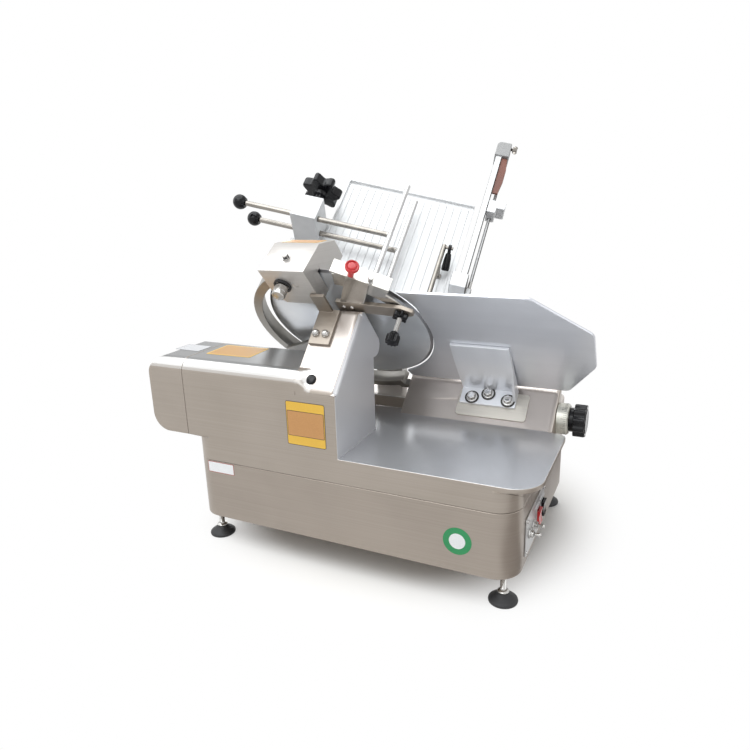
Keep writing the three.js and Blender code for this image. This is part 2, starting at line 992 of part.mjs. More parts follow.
// The black plug sits on the sloped front of the neck, a little above its shoulder
const neckTopTilt = Math.atan2(
  onSlope(neckEnd, neckTop)[1] - neckShoulder,
  onSlope(neckEnd, neckTop)[0],
);
const plugSeatZ = neckShoulder + plugBack * Math.tan(neckTopTilt);

function onNeckTop(geometry) {
  return geometry.rotateX(neckTopTilt).translate(plugX, plugBack, plugSeatZ);
}

// Seats for the two carriage bars, inside the ends of the rear body
function barSeat(x) {
  const half = barRadius;
  const seat = block(
    x - half,
    x + half,
    barFrontY - barRadius * 2,
    baseDepth - castWall / 2,
    barZ - barRadius * 2,
    barZ + barRadius * 2,
  );
  const bores = [barFrontY, barBackY].map((y) =>
    rodX(barRadius + fit, x - half - overrun, x + half + overrun, y, barZ, smallSides),
  );
  return cut(seat, ...bores);
}

function upperBody() {
  const outer = join(
    deckSolid(0),
    tablePlate(),
    housingSolid(0, coverSeam, neckLeft + castWall),
    neckSolid(0),
    rampSolid(0),
    hubBoss(),
  );
  const underHousing = block(
    castWall,
    neckRight - castWall,
    castWall,
    neckBack - castWall,
    seamHeight,
    housingBottom + castWall * 2,
  );
  const hollow = join(
    deckSolid(castWall),
    housingSolid(castWall, coverSeam - overrun, neckLeft),
    common(
      housingSolid(castWall, neckLeft - overrun, neckLeft + castWall * 2),
      plateX(neckSide(castWall), neckLeft - castWall, neckLeft + castWall * 2),
    ),
    neckSolid(castWall),
    rampSolid(castWall),
    underHousing,
  );
  const shell = cut(
    outer,
    cut(hollow, hubBoss()),
    hubBore(),
    carriageSlot(),
    tongueSlot(),
    rodX(indexShaftRadius + fit, rampRight - castWall * 2, rampRight + overrun, dialY, dialZ, smallSides),
    onNeckTop(rodZ(plugRadius / 2 + fit, -castWall * 2, castWall, 0, 0, smallSides)),
  );
  return join(shell, barSeat(barEnd), barSeat(baseLength - barEnd));
}

piece(machine, "upper_body", castSkin, upperBody());

// End cover of the motor housing, a cup that closes the open left end
function motorEndCover() {
  const right = coverSeam - fit;
  return cut(
    housingSolid(0, housingLeft, right),
    housingSolid(castWall, housingLeft + castWall, right + overrun),
  );
}

function neckPlug() {
  const cap = turned(
    [
      [0, fit],
      [plugRadius, fit],
      [plugRadius, plugHeight / 2],
      [plugRadius * plugCrownShare, plugHeight],
      [0, plugHeight],
    ],
    smallSides,
  );
  return onNeckTop(join(cap, rodZ(plugRadius / 2, -castWall, plugHeight / 2, 0, 0, smallSides)));
}

piece(machine, "motor_end_cover", castSkin, motorEndCover());
piece(machine, "neck_plug", blackPlastic, neckPlug());

// Blade motor with its right-angle gearbox, one closed casting inside the housing
function bladeMotor() {
  const box = block(gearboxLeft, gearboxRight, gearboxFront, gearboxBack, gearboxBottom, gearboxTop);
  const motor = join(
    rodX(motorRadius, motorLeft + motorEndRadius, motorRight, motorY, motorZ),
    rodX(motorEndRadius, motorLeft, motorRight, motorY, motorZ),
    box,
  );
  const boss = leaned(
    rodY(hubBossRadius + fit * 2, neckEnd - hubBossLength - fit * 2, bladePlane, bladeX, bladeRise),
  );
  const bore = leaned(
    rodY(shaftRadius + fit, -shaftLength * 2, bladePlane, bladeX, bladeRise, smallSides),
  );
  return cut(motor, boss, bore);
}

piece(machine, "blade_motor", darkCast, bladeMotor());

// Blade: flat ring at the rim, dished towards the hub, bevelled on the operator's side
function bladeDisc() {
  const flat = bladeRadius - bladeFlatRing;
  const disc = turned(
    [
      [0, -bladeDish - bladeThick],
      [bladeHubRadius, -bladeDish - bladeThick],
      [bladeRadius - bladeBevel, -bladeThick],
      [bladeRadius, -bladeEdge],
      [bladeRadius, 0],
      [flat, 0],
      [flat - bladeHollow, -bladeHollow],
      [bladeHubRadius, -bladeDish],
      [0, -bladeDish],
    ],
    bladeSides,
  );
  const bore = rodZ(shaftRadius + fit, -bladeRadius, bladeRadius, 0, 0, smallSides);
  return cut(disc, bore).rotateX(-Math.PI / 2).translate(bladeX, bladePlane, bladeRise);
}

const hubFace = bladePlane - bladeDish;

function bladeShaft() {
  const flangeBack = hubFace - bladeThick - fit;
  const nutTop = hubFace + fit + shaftNutHeight;
  return join(
    rodY(shaftRadius, nutTop - shaftLength, nutTop, bladeX, bladeRise, smallSides),
    rodY(shaftFlangeRadius, flangeBack - shaftFlangeThick, flangeBack, bladeX, bladeRise),
    rodY(shaftRadius * 2, hubFace + fit, nutTop, bladeX, bladeRise, 6),
  );
}

piece(slicing, "blade", bladeSteel, bladeDisc());
piece(slicing, "blade_shaft", polished, bladeShaft());

// Ring guard: a hoop with a front lip, a spoke to its seat round the hub, and a lug at its low end
function ringGuard() {
  const seatFront = neckEnd + fit;
  const lipBack = ringFront + ringLipThick;
  const spoke = block(
    (ringSeatInner + ringSeatOuter) / 2,
    ringInner + fit,
    seatFront,
    lipBack,
    -ringSpokeWidth / 2,
    ringSpokeWidth / 2,
  );
  spoke.rotateY(-radians(ringSpokeDegrees)).translate(bladeX, 0, bladeRise);
  const lug = block(
    rampLeft - fit - ringLugWidth,
    rampLeft - fit,
    ringFront,
    ringFront + ringLugDepth,
    -ringLugDepth - fit,
    -fit,
  );
  const from = ringStartDegrees;
  const to = ringEndDegrees;
  return join(
    hoop(ringInner, ringOuter, from, to, ringFront, ringBack, bladeX, bladeRise),
    hoop(ringInner - ringLipWidth, ringOuter - fit, from, to, ringFront, lipBack, bladeX, bladeRise),
    tubeY(ringSeatInner, ringSeatOuter, seatFront, lipBack, bladeX, bladeRise),
    spoke,
    lug,
  );
}

piece(slicing, "ring_guard", polished, ringGuard());

// Blade guard: a thin sector in front of the blade's rim, a lip over the rim, and a bright plate
function bladeGuard() {
  const back = guardFront + guardThick;
  const sector = hoop(
    guardInner,
    guardMiddle,
    guardStartDegrees,
    guardEndDegrees,
    guardFront,
    back,
    bladeX,
    bladeRise,
  );
  const band = hoop(
    guardInner,
    guardOuter,
    guardBandDegrees,
    guardEndDegrees,
    guardFront,
    back,
    bladeX,
    bladeRise,
  );
  const lip = hoop(
    guardOuter - guardLipWidth,
    guardOuter,
    guardBandDegrees,
    guardEndDegrees,
    guardFront,
    guardLipBack,
    bladeX,
    bladeRise,
  );
  const half = guardPlateThick / 2;
  const plate = block(-guardPlateHalf, guardPlateHalf, guardPlateFront, guardPlateBack, -half, half);
  const spacer = block(spacerLeft, spacerRight, guardPlateFront, spacerBack, -spacerDrop, half);
  const bore = rodZ(
    redStemRadius / 2 + fit,
    half - redPinDepth - redKnobPull,
    half + overrun,
    redKnobPlace,
    (guardPlateFront + spacerBack) / 2,
    smallSides,
  );
  const top = cut(join(plate, spacer), bore).applyMatrix4(guardTop.matrix);
  return cut(
    join(sector, band, lip, top),
    armRoom(fit),
    rodY(guardScrewRadius + fit, 0, bladePlane, guardScrewX, guardScrewRise, smallSides),
  );
}

// Guard arm: a bar that narrows to its right end, with a post down the neck's end face
function armOutline(gap) {
  const half = armHeight / 2 + gap;
  const tip = armTip / 2 + gap;
  const slope = -armFall / (armRight - armLeft);
  const taperX = armRight - armTaper;
  const taperRise = armRise + slope * (taperX - armLeft);
  const endRise = armRise - armFall;
  return outline([
    [armLeft - gap, armRise - half, 0],
    [taperX, taperRise - half, 0],
    [armRight + gap, endRise - tip, 0],
    [armRight + gap, endRise + tip, 0],
    [taperX, taperRise + half, 0],
    [armLeft - gap, armRise + half, 0],
  ]);
}

function armRoom(gap) {
  const front = neckEnd + fit;
  return plateY(armOutline(gap), front - gap - overrun, front + armThick + gap);
}

function guardArm() {
  const front = neckEnd + fit;
  const back = front + armThick;
  const post = block(armLeft, armLeft + armPostWidth, front, back, armPostBottom, armRise);
  const length = armRight - armLeft;
  const holes = armHoleShares.map((share) =>
    rodY(
      armHoleRadius,
      front - overrun,
      back + overrun,
      armLeft + length * share,
      armRise - armFall * share,
      smallSides,
    ),
  );
  const screwHole = rodY(
    guardScrewRadius + fit,
    front - overrun,
    back + overrun,
    guardScrewX,
    guardScrewRise,
    smallSides,
  );
  return cut(join(plateY(armOutline(0), front, back), post), ...holes, screwHole);
}

// Red pull knob on the guard's top plate, its pin going down into the spacer
function redKnob() {
  const seat = guardPlateThick / 2 + fit;
  const stemTop = seat + redStemHeight;
  return turned(
    [
      [0, seat - redPinDepth],
      [redStemRadius / 2, seat - redPinDepth],
      [redStemRadius / 2, seat],
      [redStemRadius, seat],
      [redStemRadius, stemTop],
      [redHeadRadius, stemTop + redHeadHeight / 2],
      [redHeadRadius * redCrownShare, stemTop + redHeadHeight],
      [0, stemTop + redHeadHeight],
    ],
    smallSides,
  ).translate(redKnobPlace, (guardPlateFront + spacerBack) / 2, 0);
}

function lobedY(radius, lobes, depth, y0, y1) {
  return plateY(lobedOutline(radius, lobes, depth), y0, y1);
}

function guardScrew() {
  const rod = rodY(guardScrewRadius, guardScrewFront, guardScrewBack, 0, 0, smallSides);
  const grip = lobedY(gripRadius, gripFlutes, gripFlute, guardScrewFront, guardScrewFront + gripLength);
  return join(rod, grip).translate(guardScrewX, 0, guardScrewRise);
}

function guardStarNut() {
  const back = neckEnd;
  const star = lobedY(screwStarRadius, screwStarLobes, screwStarDepth, back - screwStarThick, back);
  const bore = rodY(guardScrewRadius + fit, 0, bladePlane, 0, 0, smallSides);
  return cut(star, bore).translate(guardScrewX, 0, guardScrewRise);
}

piece(slicing, "blade_guard", polished, bladeGuard());
piece(slicing, "guard_arm", armSteel, guardArm());
piece(guardTop, "red_knob", redPlastic, redKnob());
piece(slicing, "guard_screw", blackPlastic, guardScrew());
piece(slicing, "guard_star_nut", blackPlastic, guardStarNut());

// Sharpener head: a hood open underneath, slotted for the blade that passes through it
function headSide(inset) {
  const low = inset ? headBottom - overrun : headBottom;
  return outline([
    [headFront + inset, low, 0],
    [headBack - inset, low, 0],
    [headBack - inset, headBackTop - inset / 2, 0],
    [headCrest, headTop - headCrestDrop - inset * headCrestShare, 0],
    [headFront + inset, headTop - inset * headFrontShare, 0],
  ]);
}

function sharpenerHead() {
  const hood = cut(
    plateX(headSide(0), headLeft, headRight),
    plateX(headSide(headWall), headLeft + headWall, headRight - headWall),
    block(headLeft - overrun, headRight + overrun, headSlotFront, headSlotBack, 0, headSlotTop),
    cornerWedge(),
  );
  const boss = common(
    rodY(stoneBossRadius, stoneBossFront, headBack, stoneBackX, buttonRise, smallSides),
    plateX(headSide(0), headLeft, headRight),
  );
  const topRise = headTop - (headCrestDrop * (headScrewRun - headFront)) / (headCrest - headFront);
  const screw = rodZ(
    headScrewRadius,
    topRise - headWall / 2,
    topRise + headScrewHeight,
    headScrewX,
    headScrewRun,
    smallSides,
  );
  return cut(
    join(hood, boss, screw),
    rodY(buttonCollarRadius + fit, 0, headFront + headWall + fit, buttonX, buttonRise, smallSides),
    rodY(buttonStemRadius + spindlePlay, 0, stoneBack + stoneSpindleLength, stoneBackX, buttonRise, smallSides),
  );
}

// The head's lower left front corner is cut away at an angle
function cornerWedge() {
  const shape = outline([
    [headLeft - overrun, headBottom - overrun, 0],
    [headLeft + headCornerCut, headBottom - overrun, 0],
    [headLeft - overrun, headBottom + headCornerCut, 0],
  ]);
  return plateY(shape, headFront - overrun, headFront + headWall + fit);
}

// Push button with its spindle, which carries the front stone
const stoneBack = bladePlane + stoneGap;
const stoneFront = bladePlane - bladeThick - stoneGap / 2 - buttonTravel - stoneThick;

function sharpenerButton() {
  const front = headFront - fit - buttonTravel - buttonLength;
  const shoulder = headFront - fit - buttonTravel;
  const collarBack = headFront + headWall + fit;
  const flangeBack = stoneFront - fit;
  return join(
    rodY(buttonRadius, front, shoulder, buttonX, buttonRise),
    rodY(buttonCollarRadius, shoulder - fit, collarBack, buttonX, buttonRise, smallSides),
    rodY(stoneFlangeRadius, flangeBack - fit * 3, flangeBack, buttonX, buttonRise, smallSides),
    rodY(buttonStemRadius, shoulder, stoneFront + stoneThick - spindlePlay, buttonX, buttonRise, smallSides),
  );
}

function frontStone() {
  return tubeY(buttonStemRadius + fit, stoneRadius, stoneFront, stoneFront + stoneThick, buttonX, buttonRise);
}

function backStone() {
  return join(
    rodY(stoneRadius, stoneBack, stoneBack + stoneThick, stoneBackX, buttonRise),
    rodY(
      buttonStemRadius,
      stoneBack,
      stoneBack + stoneSpindleLength - spindlePlay,
      stoneBackX,
      buttonRise,
      smallSides,
    ),
  );
}

// Bracket from the neck's top up to the front of the head, held by two dome nuts
function sharpenerBracket() {
  const seat = (run) => neckTopRise(run) + fit;
  const uprightBack = headFront - fit;
  const uprightFront = uprightBack - bracketThick;
  const foot = plateX(
    outline([
      [bracketFootFront, seat(bracketFootFront), 0],
      [uprightBack, seat(uprightBack), 0],
      [uprightBack, seat(uprightBack) + bracketThick, 0],
      [bracketFootFront, seat(bracketFootFront) + bracketThick, 0],
    ]),
    bracketFootLeft,
    bracketFootRight,
  );
  const upright = block(
    bracketFootLeft,
    uprightRight,
    uprightFront,
    uprightBack,
    seat(uprightBack) + bracketThick / 2,
    uprightTop,
  );
  const nutLow = seat(bracketNutRun) + bracketThick / 2;
  const nuts = bracketNutShares.map((share) =>
    turned(
      [
        [0, 0],
        [bracketNutRadius, 0],
        [bracketNutRadius, bracketNutHeight / 2],
        [bracketNutRadius * domeRadiusShare, bracketNutHeight * domeHeightShare],
        [0, bracketNutHeight],
      ],
      smallSides,
    ).translate(bracketFootLeft + (bracketFootRight - bracketFootLeft) * share, bracketNutRun, nutLow),
  );
  return join(foot, upright, ...nuts);
}

piece(slicing, "sharpener_head", castSkin, sharpenerHead());
piece(slicing, "sharpener_button", polished, sharpenerButton());
piece(slicing, "front_stone", stoneGrit, frontStone());
piece(slicing, "back_stone", stoneGrit, backStone());
piece(slicing, "sharpener_bracket", armSteel, sharpenerBracket());

// Gauge plate with its bevelled band, cut away round the blade
function gaugeOutline(inset) {
  return outline([
    [gaugeFootLeft, gaugeBottom, 0],
    [gaugeFootRight, gaugeBottom, gaugeCorner],
    [gaugeRight, gaugeWaist, gaugeCorner],
    [gaugeRight, gaugeShoulder - inset / 2, gaugeCorner / 2],
    [gaugeTopEnd - inset / 2, gaugeTop - inset, gaugeCorner],
    [bladeX, gaugeTop - inset, 0],
  ]);
}

function gaugePlate() {
  const front = bladePlane - gaugeThick;
  const plate = cut(
    plateY(gaugeOutline(0), front, bladePlane, bodySteps),
    rodY(bladeRadius + gaugeGap, 0, baseLength, bladeX, bladeRise, bladeSides),
  );
  const step = cut(
    plateY(gaugeOutline(-overrun), front - overrun, front + gaugeBandDrop),
    plateY(gaugeOutline(gaugeBand), front - overrun * 2, front + overrun),
  );
  return cut(plate, step);
}

// Bracket from the foot plate up to the back of the gauge plate, with its three bolts
function gaugeBracket() {
  const front = bladePlane - gaugeThick - fit;
  const low = footPlateThick + fit * 2;
  const heel = footPlateBack + webThick;
  const side = new THREE.Shape();
  side.moveTo(bracketPadFront, low);
  side.lineTo(heel, low);
  side.quadraticCurveTo(heel + webThick / 2, webRise / 3, front, webRise - webJoin);
  side.lineTo(front, webRise);
  side.lineTo(front - webThick, webRise);
  side.quadraticCurveTo(heel - webThick, webRise / 2, heel - webThick, low + bracketPadThick);
  side.lineTo(bracketPadFront, low + bracketPadThick);
  side.closePath();
  const gusset = outline([
    [bracketPadFront + webFlare, low, 0],
    [heel - webThick / 2, low, 0],
    [front - webThick / 2, gussetReach, 0],
  ]);
  return join(
    plateX(side, bracketPadLeft, bracketPadRight),
    plateX(gusset, bracketPadRight - gussetThick, bracketPadRight),
    ...boltShares.map(([across, along]) =>
      bracketBolt(
        bracketPadLeft + (bracketPadRight - bracketPadLeft) * across,
        bracketPadFront + (heel - bracketPadFront) * along,
        low + bracketPadThick,
      ),
    ),
  );
}

function bracketBolt(x, run, seat) {
  const low = seat - bracketPadThick / 2;
  return join(
    rodZ(washerRadius, low, seat + washerThick, x, run, smallSides),
    rodZ(boltRadius, low, seat + washerThick + boltHeight, x, run, 6),
  );
}

function footPlate() {
  const shape = roundedBox(footPlateLeft, footPlateRight, footPlateFront, footPlateBack, footPlateCorner);
  return plateZ(shape, fit, fit + footPlateThick);
}

// Carrier under the ramp: a tongue through the slot, a shoe that stops it lifting, and a finger
// that bears on the cam
function gaugeCarrier() {
  const under = -castWall - fit * 2;
  const [camRun] = toSlope(dialY, dialZ);
  const fingerBack = camRun - camRadius - (camRise * camLeadDegrees) / 360 - camGap;
  return join(
    block(carrierX - tongueHalf, carrierX + tongueHalf, tongueFront, tongueBack, under, 0),
    block(carrierX - shoeHalf, carrierX + shoeHalf, tongueFront, shoeBack, under - shoeThick, under + fit / 2),
    block(carrierX - fingerHalf, carrierX + fingerHalf, tongueFront, fingerBack, -fingerDrop, under),
  );
}

piece(slicing, "gauge_plate", satinSteel, gaugePlate());
piece(slicing, "gauge_bracket", satinSteel, gaugeBracket());
piece(slicing, "gauge_foot_plate", brushedSteel, footPlate());
piece(slicing, "gauge_carrier", darkCast, gaugeCarrier());

// Thickness control: graduated dial, fluted knob, and a shaft with a spiral cam
function thicknessDial() {
  const dial = turned([
    [indexShaftRadius + fit, 0],
    [dialRadius, 0],
    [dialRadius, dialWidth - dialStep],
    [dialRadius - dialStep, dialWidth],
    [indexShaftRadius + fit, dialWidth],
    [indexShaftRadius + fit, 0],
  ]);
  return dial.rotateY(Math.PI / 2).translate(rampRight + fit, dialY, dialZ);
}

function thicknessKnob() {
  const left = rampRight + dialWidth + fit * 2;
  const flutes = lobedOutline(thicknessKnobRadius, thicknessKnobFlutes, thicknessKnobFlute);
  const grip = plateX(flutes, thicknessKnobWidth / 4, thicknessKnobWidth);
  const neck = rodX(thicknessKnobNeck, 0, thicknessKnobWidth / 2);
  const bore = rodX(indexShaftRadius + fit, -overrun, thicknessKnobWidth / 2, 0, 0, smallSides);
  return cut(join(grip, neck), bore).translate(left, dialY, dialZ);
}

// The cam grows evenly round one turn, so each degree of the knob moves the gauge by the same step
function thicknessShaft() {
  const right = rampRight + dialWidth + thicknessKnobWidth / 2;
  const pushDegrees = 180 + leanDegrees;
  const cam = new THREE.Shape();
  for (let i = 0; i <= camSteps; i++) {
    const share = i / camSteps;
    const reach = camRadius + camRise * share;
    const angle = radians(pushDegrees + camLeadDegrees - 360 * share);
    if (i === 0) cam.moveTo(reach * Math.cos(angle), reach * Math.sin(angle));
    else cam.lineTo(reach * Math.cos(angle), reach * Math.sin(angle));
  }
  cam.closePath();
  return join(
    plateX(cam, carrierX - camWidth / 2, carrierX + camWidth / 2),
    rodX(indexShaftRadius, carrierX - camWidth, right, 0, 0, smallSides),
  ).translate(0, dialY, dialZ);
}

piece(machine, "thickness_dial", paleDial, thicknessDial());
piece(machine, "thickness_knob", blackPlastic, thicknessKnob());
piece(machine, "thickness_shaft", polished, thicknessShaft());

// Carriage block on its two bars, with a post up through the deck to a saddle under the tray
const trayUnder = -trayThick - fit;

function carriageBlock() {
  const half = blockLength / 2;
  const top = barZ + blockHeight / 2;
  const reach = barRadius + blockMargin;
  const body = block(
    carriageX - half,
    carriageX + half,
    barFrontY - reach,
    barBackY + reach,
    barZ - blockHeight / 2,
    top,
  );
  const post = block(
    carriageX - postWidth / 2,
    carriageX + postWidth / 2,
    postY - postThick / 2,
    postY + postThick / 2,
    barZ,
    tableHeight + trayLength,
  );
  const saddle = block(
    -trayWidth / 2 - saddleHalf,
    -trayWidth / 2 + saddleHalf,
    saddleLow,
    saddleHigh,
    trayUnder - saddleThick,
    trayUnder,
  ).applyMatrix4(trayInWorld);
  const overTray = block(
    -trayWidth * 3,
    trayWidth * 3,
    -trayLength * 2,
    trayLength * 2,
    trayUnder,
    trayLength * 2,
  ).applyMatrix4(trayInWorld);
  const lug = block(
    carriageX - lugHalf,
    carriageX + lugHalf,
    barFrontY - reach - lugDepth,
    barFrontY - reach + overrun,
    beltTop - beltThick - lugMargin,
    beltTop + lugMargin,
  );
  const beltRoom = block(
    carriageX - half,
    carriageX + half,
    beltY - beltWidth / 2 - fit,
    beltY + beltWidth / 2 + fit,
    beltTop - beltThick - fit,
    beltTop + fit,
  );
  const bores = [barFrontY, barBackY].map((y) =>
    rodX(barRadius + fit, carriageX - blockLength, carriageX + blockLength, y, barZ, smallSides),
  );
  return cut(join(body, cut(post, overTray), saddle, cut(lug, beltRoom)), ...bores);
}

function carriageBar(y) {
  return rodX(barRadius, barEnd - barRadius, baseLength - barEnd + barRadius, y, barZ, smallSides);
}

// Belt loop round both pulleys; the lug of the carriage block holds its upper run
function beltOutline(radius) {
  const loop = new THREE.Shape();
  loop.absarc(drivePulleyX, pulleyZ, radius, -Math.PI / 2, Math.PI / 2, false);
  loop.absarc(idlerPulleyX, pulleyZ, radius, Math.PI / 2, (Math.PI * 3) / 2, false);
  loop.closePath();
  return loop;
}

function driveBelt() {
  const front = beltY - beltWidth / 2;
  const back = beltY + beltWidth / 2;
  return cut(
    plateY(beltOutline(pulleyRadius + beltThick), front, back, beltSteps),
    plateY(beltOutline(pulleyRadius), front - overrun, back + overrun, beltSteps),
  );
}

function pulley(x) {
  const half = beltWidth / 2 + fit;
  const rim = pulleyRadius - fit;
  return cut(
    join(
      rodY(rim, beltY - half, beltY + half, x, pulleyZ),
      rodY(rim + pulleyFlange, beltY - half - pulleyFlangeThick, beltY - half, x, pulleyZ),
    ),
    rodY(pulleyBore + fit, beltY - beltWidth * 2, beltY + beltWidth * 2, x, pulleyZ, smallSides),
  );
}

function gearMotor() {
  const body = rodY(gearMotorRadius, gearMotorFront, gearMotorBack, drivePulleyX, pulleyZ);
  const shaft = rodY(pulleyBore, gearMotorBack, beltY + beltWidth, drivePulleyX, pulleyZ, smallSides);
  const stand = block(
    drivePulleyX - gearMotorFootHalf,
    drivePulleyX + gearMotorFootHalf,
    gearMotorFront + overrun,
    gearMotorBack - overrun,
    floorTop + fit,
    pulleyZ,
  );
  return join(body, shaft, stand);
}

piece(machine, "carriage_block", darkCast, carriageBlock());
piece(machine, "carriage_bar_front", polished, carriageBar(barFrontY));
piece(machine, "carriage_bar_back", polished, carriageBar(barBackY));
piece(machine, "drive_belt", rubber, driveBelt());
piece(machine, "drive_pulley", darkCast, pulley(drivePulleyX));
piece(machine, "idler_pulley", darkCast, pulley(idlerPulleyX));
piece(machine, "carriage_gearmotor", darkCast, gearMotor());

// Tray floor with ribs along the slope, a low rim, and an ear on the left for the fence block
function trayPlate() {
  const floor = block(-trayWidth, 0, 0, trayLength, -trayThick, 0);
  const pitch = (trayWidth - trayRibMargin * 2) / (trayRibs - 1);
  const ribs = Array.from({ length: trayRibs }, (_, i) => {
    const x = -trayWidth + trayRibMargin + pitch * i;
    const half = trayRibWidth / 2;
    return block(x - half, x + half, 0, trayLength - trayRibMargin, -trayThick / 2, trayRibHeight);
  });
  const leftRim = block(-trayWidth, -trayWidth + trayRimWidth, 0, trayLength, -trayThick, trayRimHeight);
  const topRim = block(-trayWidth, 0, trayLength - trayRimWidth, trayLength, -trayThick, trayRimHeight);
  const ear = block(earLeft, -trayWidth + trayRimWidth, earLow, earHigh, -earThick, 0);
  return join(floor, ...ribs, leftRim, topRim, ear);
}

// Rail bar with its foot, the rounded clamp over its top end and the guide rod between them
const clampRight = guideRodX + guideRodRadius + guideRodCover;

function trayRail() {
  const right = railLeft + railWidth;
  const top = railBottom + railHeight;
  const bar = block(railLeft, right, railLow, railHigh, railBottom, top);
  const foot = block(
    fit,
    fit + railFootWidth,
    railLow,
    railLow + railFootLength,
    railFootBottom,
    railFootTop,
  );
  const rodFoot = block(
    railLeft,
    clampRight,
    railLow,
    railLow + railFootLength / 2,
    guideRodHeight - guideRodRadius - guideRodCover,
    guideRodHeight + guideRodRadius + guideRodCover,
  );
  const clamp = plateZ(
    outline([
      [railLeft - topClampWall, railHigh - topClampLength, 0],
      [clampRight, railHigh - topClampLength, 0],
      [clampRight, railHigh + topClampWall, topClampWall],
      [railLeft - topClampWall, railHigh + topClampWall, topClampRound],
    ]),
    topClampBottom,
    top + topClampWall,
  );
  const rod = rodY(
    guideRodRadius,
    railLow + railFootLength / 4,
    railHigh - topClampLength / 2,
    guideRodX,
    guideRodHeight,
    smallSides,
  );
  const screwHole = rodX(
    wingScrewRadius + fit,
    clampRight - wingScrewDepth - fit,
    clampRight + overrun,
    wingScrewRun,
    wingScrewHeight,
    smallSides,
  );
  return cut(join(bar, foot, rodFoot, clamp, rod), screwHole);
}

function wingScrew() {
  const tip = clampRight + wingScrewLength;
  return join(
    rodX(wingScrewRadius, clampRight - wingScrewDepth, tip, wingScrewRun, wingScrewHeight, smallSides),
    block(
      tip - wingHeight,
      tip,
      wingScrewRun - wingHalf,
      wingScrewRun + wingHalf,
      wingScrewHeight - wingThick / 2,
      wingScrewHeight + wingThick / 2,
    ),
  );
}

// Brown strip on the rail's right side, its free edge bowed outwards
function railStrip() {
  const inner = railLeft + railWidth + fit;
  const middle = (stripLow + stripHigh) / 2;
  const shape = new THREE.Shape();
  shape.moveTo(inner, stripLow);
  shape.lineTo(inner + stripWidth, stripLow);
  shape.quadraticCurveTo(inner + stripWidth + stripBow * 2, middle, inner + stripWidth, stripHigh);
  shape.lineTo(inner, stripHigh);
  shape.closePath();
  return plateZ(shape, stripBottom, stripTop);
}

// Slider on the guide rod: a ledge to the right, and a tab along the rod
function railSlider() {
  const left = railLeft + railWidth + fit * 2;
  const ledge = outline([
    [left, sliderLow, 0],
    [sliderRight, sliderLow, sliderRound],
    [sliderRight, sliderHigh, sliderRound],
    [left, sliderHigh, 0],
  ]);
  const tab = outline([
    [left, sliderTabLow, 0],
    [sliderTabRight, sliderTabLow, sliderRound],
    [sliderTabRight, sliderLow + overrun, 0],
    [left, sliderLow + overrun, 0],
  ]);
  const bore = rodY(guideRodRadius + fit, railLow, railHigh, guideRodX, guideRodHeight, smallSides);
  return cut(
    join(plateZ(ledge, sliderBottom, sliderTop), plateZ(tab, sliderBottom, sliderTop)),
    bore,
  );
}

piece(tray, "tray", whiteAlloy, trayPlate());
piece(tray, "tray_rail", whiteAlloy, trayRail());
piece(tray, "rail_wing_screw", polished, wingScrew());
piece(tray, "rail_strip", brownBoard, railStrip());
piece(tray, "rail_slider", whiteAlloy, railSlider());

// Fence block: the star knob's screw goes into its upper end, between the two rods
function fenceBlock() {
  const solid = block(fenceBlockLeft, fenceBlockRight, fenceBlockLow, fenceBlockHigh, fit, fenceBlockTop);
  const bores = [fenceUpperLift, fenceLowerLift].map((lift) =>
    rodX(
      fenceRodRadius + fit,
      fenceBlockLeft - overrun,
      fenceBlockRight + overrun,
      fenceRodRun,
      lift,
      smallSides,
    ),
  );
  const screwHole = onFenceEnd(
    rodZ(starScrewRadius + fit, -starScrewDepth - fit, overrun, 0, 0, smallSides),
  );
  return cut(solid, ...bores, screwHole);
}

function onFenceEnd(geometry) {
  return geometry.rotateX(-Math.PI / 2).translate(starX, fenceBlockHigh, starLift);
}

function fenceStarKnob() {
  const low = starNeckHeight;
  const top = low + starThick;
  return onFenceEnd(
    join(
      rodZ(starScrewRadius, -starScrewDepth, low + fit, 0, 0, smallSides),
      rodZ(starNeckRadius, fit, low + fit, 0, 0, smallSides),
      plateZ(lobedOutline(starRadius, starLobes, starLobeDepth), low, top),
      rodZ(starCapRadius, top - fit, top + starCapHeight, 0, 0, smallSides),
    ),
  );
}

// Each fence rod is a clamp rod across the tray welded to a bar along it
function fenceRod(left, bar, high, lift) {
  return join(
    rodX(fenceRodRadius, left, bar, fenceRodRun, lift, smallSides),
    rodX(fenceTipRadius, left - fenceTipLength, left + fit, fenceRodRun, lift, smallSides),
    rodY(fenceRodRadius, fenceBarLow, high, bar, lift, smallSides),
  );
}

function ballKnob(left, lift) {
  const ball = new THREE.SphereGeometry(ballRadius, smallSides, smallSides / 2);
  const centre = left - ballFlat;
  ball.rotateZ(Math.PI / 2).translate(centre, fenceRodRun, lift);
  const flat = block(
    left - fit,
    left + ballRadius,
    fenceRodRun - ballRadius * 2,
    fenceRodRun + ballRadius * 2,
    lift - ballRadius * 2,
    lift + ballRadius * 2,
  );
  const socket = rodX(
    fenceTipRadius + fit,
    left - fenceTipLength - fit,
    left + overrun,
    fenceRodRun,
    lift,
    smallSides,
  );
  return cut(ball, flat, socket);
}

piece(tray, "fence_block", whiteAlloy, fenceBlock());
piece(tray, "fence_star_knob", blackPlastic, fenceStarKnob());
const upperRod = fenceRod(fenceUpperLeft, fenceUpperBar, fenceUpperHigh, fenceUpperLift);
const lowerRod = fenceRod(fenceLowerLeft, fenceLowerBar, fenceLowerHigh, fenceLowerLift);
piece(tray, "fence_rod_upper", polished, upperRod);
piece(tray, "fence_rod_lower", polished, lowerRod);
piece(tray, "ball_knob_upper", blackPlastic, ballKnob(fenceUpperLeft, fenceUpperLift));
piece(tray, "ball_knob_lower", blackPlastic, ballKnob(fenceLowerLeft, fenceLowerLift));

